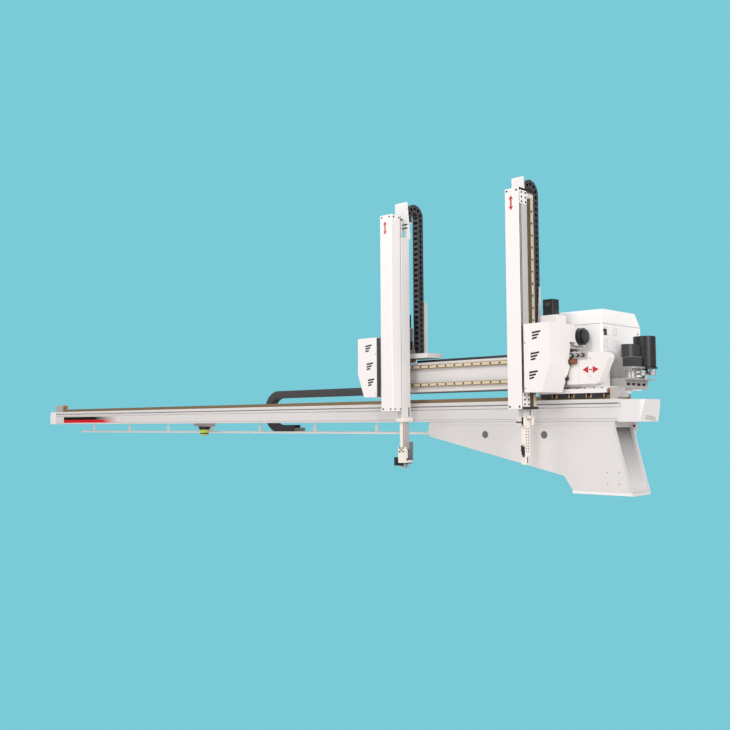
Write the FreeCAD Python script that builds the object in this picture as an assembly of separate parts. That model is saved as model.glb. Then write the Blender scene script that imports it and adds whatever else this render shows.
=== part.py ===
import FreeCAD, Part
import math
import os

Vector = FreeCAD.Vector

# Take-out gantry robot, millimetres. X runs along both beams, +Y away from the viewer's side,
# +Z up. The origin is the middle of the pedestal's base bolts, on the underside of its base.

# Pedestal
base_length = 318
base_depth = 180
base_thickness = 14
pedestal_height = 330
pedestal_plate = 10
pedestal_reach = 1066
pedestal_lean = 86
pedestal_nose_drop = 58
pedestal_nose_radius = 24
pedestal_slope_end = 205
pedestal_slope_height = 84
pedestal_foot_inset = 34
base_bolt_radius = 9
base_bolt_inset_x = 30
base_bolt_inset_y = 26
hand_hole_radius = 17
hand_hole_drop = 47
hand_hole_places = (-678, -314)

# Traverse beam
beam_left = 5262
beam_right = 94
beam_depth = 180
beam_height = 105
beam_wall = 8
beam_lip = 18
beam_groove_depth = 5
beam_groove_height = 5
beam_recess_drop = 42
pad_thickness = 20
pad_inset = 6
cap_length = 122
cap_wall = 4
right_cover_length = 134
right_cover_taper = 22
right_cover_skew = 20
right_cover_top_drop = 4

# Linear guides, shared by every axis
rail_width = 20
rail_height = 20
block_height = 30
block_width = 44
block_length = 75
guide_clearance = 0.3
rail_hole_pitch = 60
rail_hole_radius = 4.6
rail_hole_depth = 8

# Traverse guides, rack and stops
traverse_rail_inset = 14
rack_width = 18
rack_height = 20
rack_place = 20
stop_width = 47
stop_depth = 60
stop_height = 56
near_stop_setback = 38
far_stop_setback = 4
gusset_length = 44
bumper_radius = 16
bumper_length = 16
carriage_run_gap = 4
traverse_stroke = 4450

# Chain hangers and beacon
hanger_count = 7
hanger_spacing = 552
hanger_first = -4943
hanger_drop = 71
hanger_foot = 74
hanger_bar = 8
tray_rod_radius = 4
tray_rod_left = -5146
tray_rod_right = -1210
beacon_place = -3250
beacon_bracket_width = 176
beacon_bracket_height = 22
beacon_cap_radius = 42
beacon_cap_height = 14
beacon_dome_radius = 40
beacon_dome_height = 56

# Traverse chain
traverse_chain_height = 48
traverse_chain_width = 60
traverse_chain_radius = 139
traverse_chain_gap = 12
traverse_bend_place = -2559
traverse_chain_fixed_end = -2400
lug_inset = 16
lug_thickness = 8

# Carriage
carriage_left = -346
carriage_plate = 22
carriage_front_reach = 6
carriage_back_reach = 62
riser_height = 11
riser_length = 250
blocks_per_rail = 4

# Kick beam
kick_left = 1396
kick_right = -20
kick_height = 165
kick_depth = 120
kick_face_setback = 10
kick_wall = 7
beam_end_plate = 4
kick_rail_low = 39
kick_rail_pitch = 100
kick_rail_right = 170
duct_height = 19
duct_depth = 46
duct_inset = 180
end_cover_wall = 3
end_cover_reach = 30
end_cover_depth = 55
end_cover_left_top = -139
end_cover_left_bottom = -165
end_cover_right_top = 78
end_cover_right_bottom = 6
end_cover_slope = 12

# Cabinet and drive on the carriage
cabinet_left = -306
cabinet_right = -58
cabinet_front_gap = 5
cabinet_depth = 400
cabinet_height = 327
cabinet_roof_height = 71
cabinet_roof_taper = 55
cabinet_seam = 66
window_size = 44
servo_width = 60
servo_length = 94
servo_height = 61
servo_foot_height = 48
servo_foot_shift = 14
gearbox_height = 22
drive_place_x = 65
drive_place_y = 98
drive_base_height = 106
bracket_right = 60
bracket_front = 50
bracket_back = 280
bracket_channel_height = 43
bracket_wall = 6
reservoir_radius = 54
reservoir_height = 153
reservoir_place_x = 85
reservoir_place_y = 205

# Telescopic arms; a is measured across the arm from its middle, towards its own head
main_arm_x = -338
sub_arm_x = -1180
arm_width = 84
arm_cover_depth = 74
arm_cover_wall = 3
arm_front_gap = 225
arm_drop = 108
arm_length = 1087
arm_beam_side_gap = 6
arm_box_back_gap = 8
web_gap = 12
web_depth = 74
arm_rail_setback = 85
arm_rail_top_gap = 44
end_plate_thickness = 12
pulley_block_height = 68
pulley_block_thickness = 8
column_width = 34
column_start_main = -33
column_start_sub = -46
column_rail_width = 15
column_rail_height = 6
column_depth = 68
column_wall = 4
column_drop = 34
column_length = 997
column_gap = 2
column_slot_height = 52
inner_block_low = 24
arm_stroke = 650
head_stroke_main = 320
head_stroke_sub = 280

# Energy chains of the arms
chain_width = 40
chain_height = 45
chain_outer_radius = 71
chain_bracket_gap = 4
chain_start_main = -79
chain_start_sub = -21
chain_bend_rise = 19
chain_arm_run = 36
link_pitch = 29.5

# Top bracket of each column
bracket_plate = 5
bracket_top_rise = 93
bracket_overlap = 28
bracket_range_main = (-40, 20)
bracket_head_main = (-98, -28)
bracket_range_sub = (-31, 58)
bracket_flange = 25
bracket_step = 30
bracket_window_margin = 16
bracket_window_width = 58
bracket_window_height = 46

# Heads
head_plate = 14
head_back_plate = 18
head_plate_reach = 150
head_drop = 18
head_cover_wall = 3
head_cover_width = 145
head_cover_drop = 28
head_cover_height = 332
head_cover_chamfer_width = 47
head_cover_chamfer_height = 130
head_cover_setback = 5
head_cover_back_gap = 20
hood_gap = 1
hood_reach = 50
head_cover_start_main = 54
head_cover_start_sub = 80
lift_motor_width = 60
lift_motor_height = 133
lift_motor_start = 53
bridge_gap = 26
bridge_height = 26
bridge_start_main = -80
bridge_start_sub = -117
chain_tray_height = 300
chain_tray_plate = 4
chain_tray_gap = 2
chain_tray_width = 30
chain_tray_shift = 2
kick_motor_radius = 42
kick_motor_length = 60
kick_motor_flange = 92
kick_motor_plate = 8
kick_motor_drop = 14
kick_motor_setback = 12
kick_motor_start_main = 169
kick_motor_start_sub = 92

# Wrist and gripper
flange_width = 50
flange_depth = 90
main_flange_height = 44
sub_flange_height = 23
flip_bar_width = 23
flip_bar_depth = 40
flip_bar_length = 168
flip_tip_length = 42
flip_tip_split = 6
flip_pin_radius = 7
flip_pin_drop = 24
fork_gap = 0.5
eoat_hole_radius = 2.5
eoat_pitch_y = 24
eoat_pitch_z = 60
hanger_bar_width = 24
hanger_bar_depth = 50
hanger_bar_length = 154
gripper_width = 50
gripper_height = 87
gripper_plate = 12
gripper_overlap = 16
gripper_shift = 10
gripper_side_reach = 18
gripper_back_plate = 5
gripper_back_rise = 42
finger_width = 14
finger_thickness = 12
finger_length = 30
finger_gap = 12
finger_travel = 5
pad_plate_width = 62
pad_plate_height = 32
pad_plate_thickness = 6

# Places that follow from the sizes above
beam_bottom = pedestal_height + pad_thickness
beam_top = beam_bottom + beam_height
beam_front = -beam_depth / 2
beam_back = beam_depth / 2
carriage_low = beam_top + block_height
carriage_top = carriage_low + carriage_plate
near_stop_left = beam_right - near_stop_setback
carriage_right = near_stop_left - bumper_length - carriage_run_gap
kick_low = carriage_top + riser_height
kick_top = kick_low + kick_height
kick_face = beam_front + kick_face_setback
kick_back = kick_face + kick_depth
kick_rail_front = kick_face - rail_height
kick_rail_heights = [kick_low + kick_rail_low + row * kick_rail_pitch for row in range(2)]
head_back = kick_face - block_height
head_low = kick_low - head_drop
head_cover_low = kick_low - head_cover_drop
head_cover_high = head_cover_low + head_cover_height
bridge_low = kick_top + bridge_gap
arm_low = kick_low - arm_drop
column_low = arm_low - column_drop
arm_front = kick_face - arm_front_gap
arm_high = arm_low + arm_length
half_arm = arm_width / 2
cover_back = arm_front + arm_cover_depth
arm_box_back = cover_back - arm_box_back_gap
web_back = arm_box_back + web_depth
arm_rail_y = arm_front + arm_rail_setback + rail_width / 2
rail_seat_a = half_arm - rail_height / 2 - 1
block_back_a = rail_seat_a + block_height
column_front = cover_back + column_gap
column_back = column_front + column_depth
column_high = column_low + column_length
bracket_back_y = column_back + bracket_plate
chain_run_front = bracket_back_y + chain_bracket_gap
chain_centre_y = chain_run_front + chain_outer_radius
chain_inner_radius = chain_outer_radius - chain_height
chain_bend_z = arm_high + chain_bend_rise
bridge_top = bridge_low + bridge_height
hood_low = bridge_top + hood_gap
kick_motor_y = kick_back - kick_motor_flange / 2 - kick_motor_setback
kick_motor_z = bridge_top + kick_motor_flange / 2 - kick_motor_drop
head_run_back = chain_centre_y + chain_outer_radius
half_chain = chain_width / 2
head_cover_front = arm_front + head_cover_setback
head_high = head_cover_high - head_cover_wall


def box(x_range, y_range, z_range):
    """A box between three pairs of planes, given in either order."""
    low = [min(pair) for pair in (x_range, y_range, z_range)]
    high = [max(pair) for pair in (x_range, y_range, z_range)]
    sizes = [top - bottom for bottom, top in zip(low, high)]
    return Part.makeBox(sizes[0], sizes[1], sizes[2], Vector(low[0], low[1], low[2]))


def lifted(axis, level, first, second):
    """The point with two plane coordinates, on the plane across axis at level."""
    places = {
        "x": (level, first, second),
        "y": (first, level, second),
        "z": (first, second, level),
    }
    return Vector(*places[axis])


def prism(corners, axis, start, end):
    """An outline carried along an axis. A corner is (first, second) or (first, second, radius)."""
    entries = []
    exits = []
    crowns = []
    count = len(corners)
    for index, corner in enumerate(corners):
        here = Vector(corner[0], corner[1], 0)
        radius = corner[2] if len(corner) > 2 else 0
        before = Vector(corners[index - 1][0], corners[index - 1][1], 0) - here
        after = Vector(corners[(index + 1) % count][0], corners[(index + 1) % count][1], 0) - here
        if radius == 0:
            entries.append(here)
            exits.append(here)
            crowns.append(None)
            continue
        half_turn = before.getAngle(after) / 2
        before.normalize()
        after.normalize()
        inward = before + after
        inward.normalize()
        tangent = radius / math.tan(half_turn)
        entries.append(here + before * tangent)
        exits.append(here + after * tangent)
        crowns.append(here + inward * (radius / math.sin(half_turn) - radius))
    level = [lifted(axis, start, point.x, point.y) for point in entries]
    leave = [lifted(axis, start, point.x, point.y) for point in exits]
    edges = []
    for index in range(count):
        if crowns[index] is not None:
            crown = lifted(axis, start, crowns[index].x, crowns[index].y)
            edges.append(Part.Arc(level[index], crown, leave[index]).toShape())
        following = level[(index + 1) % count]
        if leave[index].distanceToPoint(following) > 0.001:
            edges.append(Part.LineSegment(leave[index], following).toShape())
    face = Part.Face(Part.Wire(edges))
    travel = lifted(axis, end - start, 0, 0)
    return face.extrude(travel)


def cylinder(radius, start, direction, length):
    """A round bar from a point along a direction."""
    return Part.makeCylinder(radius, length, Vector(*start), Vector(*direction))


def inset(corners, wall):
    """A convex outline moved inwards by a wall."""
    middle_a = sum(corner[0] for corner in corners) / len(corners)
    middle_b = sum(corner[1] for corner in corners) / len(corners)
    lines = []
    for index, corner in enumerate(corners):
        following = corners[(index + 1) % len(corners)]
        along = Vector(following[0] - corner[0], following[1] - corner[1], 0)
        along.normalize()
        normal = Vector(-along.y, along.x, 0)
        towards = Vector(middle_a - corner[0], middle_b - corner[1], 0)
        if normal.dot(towards) < 0:
            normal = normal * -1
        lines.append((Vector(corner[0], corner[1], 0) + normal * wall, along))
    moved = []
    for index in range(len(lines)):
        start, along = lines[index - 1]
        other, across = lines[index]
        gap = other - start
        determinant = along.x * across.y - along.y * across.x
        reach = (gap.x * across.y - gap.y * across.x) / determinant
        point = start + along * reach
        moved.append((point.x, point.y))
    return moved


def fused(shapes):
    """Several shapes as one solid, without leftover seams."""
    return shapes[0].fuse(shapes[1:]).removeSplitter()


def export(name, *shapes):
    """Write one node, a solid or a group of separate solids."""
    shape = shapes[0] if len(shapes) == 1 else Part.makeCompound(list(shapes))
    shape.exportStep(f"parts/{name}.step")


def pedestal():
    """Two side plates and end plates on a flanged base, open under the top."""
    foot_left = -base_length / 2
    foot_right = base_length / 2
    nose = -pedestal_reach
    side = [
        (nose, pedestal_height),
        (nose, pedestal_height - pedestal_nose_drop, pedestal_nose_radius),
        (-pedestal_slope_end, pedestal_slope_height, 26),
        (foot_left - 1, base_thickness + 8, 30),
        (foot_left + 2, base_thickness),
        (foot_right - 2, base_thickness),
        (foot_right - pedestal_lean, pedestal_height),
    ]
    front = prism(side, "y", beam_front, beam_front + pedestal_plate)
    back = prism(side, "y", beam_back - pedestal_plate, beam_back)
    for place in hand_hole_places:
        start = (place, beam_front - 1, pedestal_height - hand_hole_drop)
        hole = cylinder(hand_hole_radius, start, (0, 1, 0), base_depth + 2)
        front = front.cut(hole)
        back = back.cut(hole)
    inner = (beam_front + pedestal_plate, beam_back - pedestal_plate)
    top = box((nose, foot_right - pedestal_lean), inner, (pedestal_height - pedestal_plate, pedestal_height))
    post_low = foot_right - pedestal_foot_inset
    end_plate = prism(
        [
            (post_low, base_thickness),
            (post_low - pedestal_plate, base_thickness),
            (post_low - pedestal_lean - pedestal_plate, pedestal_height - pedestal_plate),
            (post_low - pedestal_lean, pedestal_height - pedestal_plate),
        ],
        "y", inner[0], inner[1])
    nose_plate = box((nose, nose + pedestal_plate), inner,
                     (pedestal_height - pedestal_nose_drop + pedestal_nose_radius, pedestal_height - pedestal_plate))
    foot_plate = box((foot_left + 6, foot_left + 6 + pedestal_plate), inner,
                     (base_thickness, pedestal_slope_height))
    slope_rise = pedestal_height - pedestal_nose_drop - pedestal_slope_height
    slope_run = pedestal_reach - pedestal_slope_end
    floor_start = nose + 2 * pedestal_nose_radius
    floor_level = pedestal_height - pedestal_nose_drop - slope_rise * 2 * pedestal_nose_radius / slope_run
    floor_end = -pedestal_slope_end - 20
    floor_end_level = pedestal_slope_height + slope_rise * 20 / slope_run
    floor = prism(
        [
            (floor_start, floor_level),
            (floor_end, floor_end_level),
            (floor_end, floor_end_level + pedestal_plate),
            (floor_start, floor_level + pedestal_plate),
        ],
        "y", inner[0], inner[1])
    base = prism(
        [
            (foot_left, beam_front, 4),
            (foot_right, beam_front, 4),
            (foot_right, beam_back, 4),
            (foot_left, beam_back, 4),
        ],
        "z", 0, base_thickness)
    for x in (foot_left + base_bolt_inset_x, foot_right - base_bolt_inset_x):
        for y in (beam_front + base_bolt_inset_y, beam_back - base_bolt_inset_y):
            base = base.cut(cylinder(base_bolt_radius, (x, y, -1), (0, 0, 1), base_thickness + 2))
    return fused([front, back, top, end_plate, nose_plate, foot_plate, floor, base])


def traverse_beam():
    """A hollow extrusion with a lip, a groove and a recessed band on its front."""
    lip_low = beam_top - beam_lip
    groove_low = lip_low - beam_groove_height
    band_low = beam_top - beam_recess_drop
    outline = [
        (beam_front, beam_top),
        (beam_front, lip_low),
        (beam_front + beam_groove_depth + 3, lip_low),
        (beam_front + beam_groove_depth + 3, groove_low),
        (beam_front + beam_groove_depth, groove_low - 2),
        (beam_front + beam_groove_depth, band_low + 3),
        (beam_front, band_low),
        (beam_front, beam_bottom, 4),
        (beam_back, beam_bottom, 4),
        (beam_back, beam_top),
    ]
    body = prism(outline, "x", -beam_left, beam_right + right_cover_skew)
    wall = beam_wall + beam_groove_depth
    cover_low, cover_high = right_cover_levels()
    slope = right_cover_skew / (cover_high - cover_low)
    past = beam_right + 2 * right_cover_skew
    waste = prism(
        [
            (beam_right - slope * 10, cover_low - 10),
            (beam_right + slope * (beam_top + 10 - cover_low), beam_top + 10),
            (past, beam_top + 10),
            (past, cover_low - 10),
        ],
        "y", beam_front - 1, beam_back + 1)
    body = body.cut(waste)
    hollow = box((-beam_left, past), (beam_front + wall + 2, beam_back - beam_wall),
                 (beam_bottom + beam_wall, beam_top - beam_wall))
    pad = box((-pedestal_reach, base_length / 2 - pedestal_lean), (beam_front + pad_inset, beam_back - pad_inset),
              (pedestal_height, beam_bottom))
    return fused([body.cut(hollow), pad])


def traverse_rail_places():
    """The middle of the front and rear rail, across the beam."""
    reach = traverse_rail_inset + rail_width / 2
    return (beam_front + reach, beam_back - reach)


def traverse_rails():
    """Two plain rails on top of the beam."""
    rails = []
    length = (-beam_left + far_stop_setback + 2 * stop_width + 4, near_stop_left - 4)
    for y in traverse_rail_places():
        across = (y - rail_width / 2, y + rail_width / 2)
        rails.append(box(length, across, (beam_top, beam_top + rail_height)))
    return rails


def drive_rack():
    """The straight rack between the rails."""
    return box((-beam_left, beam_right), (rack_place, rack_place + rack_width), (beam_top, beam_top + rack_height))


def left_end_cap():
    """A rounded cap that closes the far end of the beam."""
    start = -beam_left
    shape = prism(
        [
            (start, beam_front),
            (start, beam_back),
            (start - cap_length, beam_back, 34),
            (start - cap_length, beam_front, 34),
        ],
        "z", beam_bottom, beam_top)
    hollow = prism(
        [
            (start, beam_front + cap_wall),
            (start, beam_back - cap_wall),
            (start - cap_length + cap_wall, beam_back - cap_wall, 30),
            (start - cap_length + cap_wall, beam_front + cap_wall, 30),
        ],
        "z", beam_bottom + cap_wall, beam_top - cap_wall)
    return shape.cut(hollow)


def right_cover_levels():
    """The lower and upper edge of the cover over the near end."""
    return beam_bottom - 4, beam_top - right_cover_top_drop


def right_end_cover():
    """A skewed, rounded cover over the near end of the beam."""
    end = beam_right + right_cover_length
    low, high = right_cover_levels()
    profile = [
        (beam_right, low),
        (beam_right + right_cover_skew, high),
        (end, high),
        (end - right_cover_taper, low),
    ]
    hollow = [
        (beam_right, low + cap_wall),
        (beam_right + right_cover_skew, high - cap_wall),
        (end - cap_wall, high - cap_wall),
        (end - cap_wall - right_cover_taper, low + cap_wall),
    ]
    corner = 26
    plan = [
        (beam_right - 1, beam_front),
        (end, beam_front, corner),
        (end, beam_back, corner),
        (beam_right - 1, beam_back),
    ]
    inner_plan = [
        (beam_right - 2, beam_front + cap_wall),
        (end - cap_wall, beam_front + cap_wall, corner - cap_wall),
        (end - cap_wall, beam_back - cap_wall, corner - cap_wall),
        (beam_right - 2, beam_back - cap_wall),
    ]
    shape = prism(profile, "y", beam_front, beam_back).common(prism(plan, "z", low - 1, high + 1))
    room = prism(hollow, "y", beam_front, beam_back).common(prism(inner_plan, "z", low, high))
    return shape.cut(room)


def stop_places():
    """The X span of the near and the far stop block, and the Y span of both."""
    near = (near_stop_left, near_stop_left + stop_width)
    far_left = -beam_left + far_stop_setback
    return near, (far_left, far_left + 2 * stop_width), (beam_front, beam_front + stop_depth)


def end_stops():
    """A block on each end of the beam's top; the near one has a gusset."""
    near, far, y_range = stop_places()
    near_block = box((near[0], beam_right), y_range, (beam_top, beam_top + stop_height))
    near_block = near_block.fuse(box((near[0], near[1]), y_range, (beam_top + 6, beam_top + stop_height)))
    gusset = prism(
        [
            (near[1], beam_top + 6),
            (near[1] + gusset_length, beam_top + 6),
            (near[1] + gusset_length / 2, beam_top + stop_height - 4, 8),
            (near[1], beam_top + stop_height),
        ],
        "y", y_range[0] + 8, y_range[0] + 16)
    return fused([near_block, gusset]), box(far, y_range, (beam_top, beam_top + stop_height))


def stop_bumpers():
    """A round rubber bumper on each stop, facing the carriage."""
    near, far, y_range = stop_places()
    y = (y_range[0] + y_range[1]) / 2
    z = carriage_low + carriage_plate / 2
    return (cylinder(bumper_radius, (near[0], y, z), (-1, 0, 0), bumper_length),
            cylinder(bumper_radius, (far[1], y, z), (1, 0, 0), bumper_length))


def chain_hangers():
    """Angle hangers under the beam's back edge, joined by a thin rod."""
    low = beam_bottom - hanger_drop
    post_y = (beam_back, beam_back + hanger_bar)
    pieces = []
    for index in range(hanger_count):
        x = hanger_first + index * hanger_spacing
        x_range = (x - hanger_bar / 2, x + hanger_bar / 2)
        post = box(x_range, post_y, (low, beam_bottom + beam_height / 2))
        foot = box(x_range, (beam_back, beam_back + hanger_foot), (low, low + hanger_bar))
        pieces.extend([post, foot])
    rod = cylinder(tray_rod_radius, (tray_rod_left, beam_back + hanger_bar / 2, low + hanger_bar),
                   (1, 0, 0), tray_rod_right - tray_rod_left)
    return fused(pieces + [rod])


def beacon():
    """A signal lamp that hangs from a bracket under the beam."""
    high = beam_bottom - beacon_bracket_height
    bracket = box((beacon_place - beacon_bracket_width / 2, beacon_place + beacon_bracket_width / 2),
                  (-30, 30), (high, beam_bottom))
    cap = cylinder(beacon_cap_radius, (beacon_place, 0, high), (0, 0, -1), beacon_cap_height)
    base = fused([bracket, cap])
    dome_top = high - beacon_cap_height
    widths = (1, 0.93, 0.74, 0.4)
    drops = (0.4, 0.66, 0.88, 1)
    dome = cylinder(beacon_dome_radius, (beacon_place, 0, dome_top), (0, 0, -1), beacon_dome_height * drops[0])
    for index in range(3):
        start = Vector(beacon_place, 0, dome_top - beacon_dome_height * drops[index])
        height = beacon_dome_height * (drops[index + 1] - drops[index])
        step = Part.makeCone(beacon_dome_radius * widths[index], beacon_dome_radius * widths[index + 1],
                             height, start, Vector(0, 0, -1))
        dome = dome.fuse(step)
    return base, dome


def ring_half(centre, outer, inner, axis, across, opening):
    """Half of a flat ring about a centre; opening names the side that is left out."""
    low, high = across
    if axis == "x":
        start = Vector(low, centre[0], centre[1])
        direction = Vector(1, 0, 0)
    else:
        start = Vector(centre[0], low, centre[1])
        direction = Vector(0, 1, 0)
    ring = Part.makeCylinder(outer, high - low, start, direction)
    ring = ring.cut(Part.makeCylinder(inner, high - low, start, direction))
    span = 2 * outer
    if opening == "below":
        keep = box((low, high), (centre[0] - span, centre[0] + span), (centre[1], centre[1] + span))
    else:
        keep = box((centre[0] - span, centre[0]), (low, high), (centre[1] - span, centre[1] + span))
    return ring.common(keep)


def traverse_chain():
    """Upper run on the carriage, bend, and lower run that lies on the hangers."""
    y_range = (beam_back + traverse_chain_gap, beam_back + traverse_chain_gap + traverse_chain_width)
    run_low = beam_bottom - hanger_drop + hanger_bar + 1
    centre_z = run_low + traverse_chain_radius
    upper_high = centre_z + traverse_chain_radius
    bend = ring_half((traverse_bend_place, centre_z), traverse_chain_radius,
                     traverse_chain_radius - traverse_chain_height, "y", y_range, "right")
    lower = box((traverse_bend_place, traverse_chain_fixed_end), y_range, (run_low, run_low + traverse_chain_height))
    upper = box((traverse_bend_place, carriage_left + lug_inset), y_range, (upper_high - traverse_chain_height, upper_high))
    return upper, bend, lower, y_range, upper_high


def carriage_plate_shape(chain_y, chain_top):
    """The plate that rides on the guide blocks, with risers and the chain's bracket."""
    plate = box((carriage_left, carriage_right), (beam_front - carriage_front_reach, beam_back + carriage_back_reach),
                (carriage_low, carriage_top))
    pieces = [plate]
    for x in (carriage_left + 10, carriage_right - 10 - riser_length / 2):
        pieces.append(box((x, x + riser_length / 2), (kick_face, kick_back), (carriage_top, kick_low)))
    lug_left = carriage_left + lug_inset
    pieces.append(box((lug_left, lug_left + lug_thickness), (chain_y[0], beam_back + carriage_back_reach),
                      (carriage_top, chain_top)))
    return fused(pieces)


def guide_blocks():
    """Guide blocks that straddle the two traverse rails."""
    blocks = []
    travel = carriage_right - carriage_left - block_length - 20
    for y in traverse_rail_places():
        for index in range(blocks_per_rail):
            x = carriage_left + 10 + travel * index / (blocks_per_rail - 1)
            outer = box((x, x + block_length), (y - block_width / 2, y + block_width / 2),
                        (beam_top + 5, carriage_low))
            slot = box((x - 1, x + block_length + 1),
                       (y - rail_width / 2 - guide_clearance, y + rail_width / 2 + guide_clearance),
                       (beam_top, beam_top + rail_height + guide_clearance))
            blocks.append(outer.cut(slot))
    return blocks


def kick_beam():
    """The hollow beam that carries both heads."""
    length = (-kick_left, kick_right)
    outer = prism(
        [
            (kick_face, kick_low, 3),
            (kick_back, kick_low, 3),
            (kick_back, kick_top, 3),
            (kick_face, kick_top, 3),
        ],
        "x", length[0], length[1])
    hollow = box(length, (kick_face + kick_wall, kick_back - kick_wall), (kick_low + kick_wall, kick_top - kick_wall))
    ends = [
        box((-kick_left - beam_end_plate, -kick_left), (kick_face, kick_back), (kick_low, kick_top)),
        box((kick_right, kick_right + beam_end_plate), (kick_face, kick_back), (kick_low, kick_top)),
    ]
    return fused([outer.cut(hollow)] + ends)


def rail_with_holes(length_range, across, seat, outward, axis):
    """A guide rail with counterbored holes at the standard pitch."""
    low, high = min(length_range), max(length_range)
    face = seat + outward * rail_height
    if axis == "x":
        bar = box((low, high), (seat, face), (across - rail_width / 2, across + rail_width / 2))
    else:
        bar = box((seat, face), (across - rail_width / 2, across + rail_width / 2), (low, high))
    count = int((high - low - 2 * rail_hole_radius) // rail_hole_pitch)
    first = (low + high - (count - 1) * rail_hole_pitch) / 2
    tools = []
    for index in range(count):
        place = first + index * rail_hole_pitch
        if axis == "x":
            start = (place, face, across)
            direction = (0, -outward, 0)
        else:
            start = (face, across, place)
            direction = (-outward, 0, 0)
        tools.append(cylinder(rail_hole_radius, start, direction, rail_hole_depth))
    return bar.cut(Part.makeCompound(tools))


def kick_rails():
    """Two rails on the front of the kick beam."""
    length = (-kick_left + 4, -kick_rail_right)
    return [rail_with_holes(length, z, kick_face, -1, "x") for z in kick_rail_heights]


def kick_end_cover():
    """The moulded cover over the kick beam's near end."""
    front = kick_face - end_cover_reach
    back = front + end_cover_depth
    corners = [
        (end_cover_left_bottom, kick_low + 10),
        (end_cover_left_top, kick_top + 5),
        (end_cover_right_top, kick_top + 5 - end_cover_slope),
        (end_cover_right_bottom, kick_low + 10),
    ]
    radii = (10, 10, 26, 22)
    outer = [(corner[0], corner[1], radius) for corner, radius in zip(corners, radii)]
    shape = prism(outer, "y", front, back)
    inner = [corner + (radius - end_cover_wall,) for corner, radius in zip(inset(corners, end_cover_wall), radii)]
    shape = shape.cut(prism(inner, "y", front + end_cover_wall, back - end_cover_wall))
    beam_room = box((end_cover_left_bottom - 1, kick_right + beam_end_plate), (kick_face, back + 1),
                    (kick_low - 1, kick_top + 10))
    return shape.cut(beam_room)


def control_cabinet():
    """The drive cabinet: a box with a seam, a sloped roof and a window."""
    front = kick_back + cabinet_front_gap
    back = front + cabinet_depth
    low = carriage_top
    high = low + cabinet_height
    body = prism(
        [
            (cabinet_left, front, 8),
            (cabinet_right, front, 8),
            (cabinet_right, back, 8),
            (cabinet_left, back, 8),
        ],
        "z", low, high)
    roof = prism(
        [
            (front, high),
            (back, high),
            (back - cabinet_roof_taper, high + cabinet_roof_height, 16),
            (front + 10, high + cabinet_roof_height + 2, 16),
        ],
        "x", cabinet_left + 3, cabinet_right - 3)
    seam = box((cabinet_right - 2, cabinet_right + 1), (front - 1, back + 1), (low + cabinet_seam, low + cabinet_seam + 3))
    window = box((cabinet_right - 6, cabinet_right + 1), (front + 20, front + 20 + window_size),
                 (high - 60, high - 60 + window_size))
    return fused([body, roof]).cut(seam).cut(window)


def drive_unit():
    """Bracket, gearbox, servo and air reservoir beside the cabinet."""
    low = carriage_top
    shelf = low + bracket_channel_height
    left = cabinet_right + 3
    bracket = box((left, bracket_right), (bracket_front, bracket_back), (low, shelf))
    bracket = bracket.cut(box((left + bracket_wall, bracket_right - bracket_wall),
                              (bracket_front + bracket_wall, bracket_back - bracket_wall),
                              (low + bracket_wall, shelf + 1)))
    slots = []
    for index in range(4):
        y = bracket_front + 16 + index * 52
        slots.append(box((bracket_right - bracket_wall - 1, bracket_right + 1), (y, y + 36), (low + 16, low + 28)))
    bracket = bracket.cut(Part.makeCompound(slots))
    shelf_right = reservoir_place_x + reservoir_radius / 4
    shelf_plate = box((left, shelf_right), (bracket_front, bracket_back), (shelf, shelf + 8))
    bracket = fused([bracket, shelf_plate])
    gear_low = shelf + 8
    gear_high = low + drive_base_height
    servo_x = (drive_place_x - servo_width / 2, drive_place_x + servo_width / 2)
    servo_y = (drive_place_y - servo_length / 2, drive_place_y + servo_length / 2)
    gearbox = fused([
        cylinder(servo_width / 2 - 4, (drive_place_x, drive_place_y, gear_low), (0, 0, 1), gear_high - gear_low - 1),
        box(servo_x, servo_y, (gear_high - gearbox_height, gear_high)),
    ])
    foot_x = (servo_x[0] + servo_foot_shift, servo_x[1] + servo_foot_shift)
    foot_high = gear_high + servo_foot_height
    corner = 12
    servo = fused([
        box(foot_x, (servo_y[0] - 1, servo_y[1] - servo_foot_shift), (gear_high, foot_high)),
        prism(
            [
                (servo_x[0], servo_y[0] + corner),
                (servo_x[0] + corner, servo_y[0]),
                (servo_x[1] - corner, servo_y[0]),
                (servo_x[1], servo_y[0] + corner),
                (servo_x[1], servo_y[1]),
                (servo_x[0], servo_y[1]),
            ],
            "z", foot_high, foot_high + servo_height),
    ])
    place = (reservoir_place_x, reservoir_place_y, gear_high)
    tank = cylinder(reservoir_radius, place, (0, 0, 1), reservoir_height)
    rims = [edge for edge in tank.Edges if abs(edge.BoundBox.ZLength) < 0.01]
    tank = tank.makeChamfer(2.5, rims)
    foot = (reservoir_place_x, reservoir_place_y, gear_low)
    stem = cylinder(reservoir_radius / 4, foot, (0, 0, 1), gear_high - gear_low)
    seat = cylinder(reservoir_radius + 6, (place[0], place[1], gear_high - 8), (0, 0, 1), 8)
    tank = fused([tank, stem, seat])
    return bracket, gearbox, servo, tank


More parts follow.
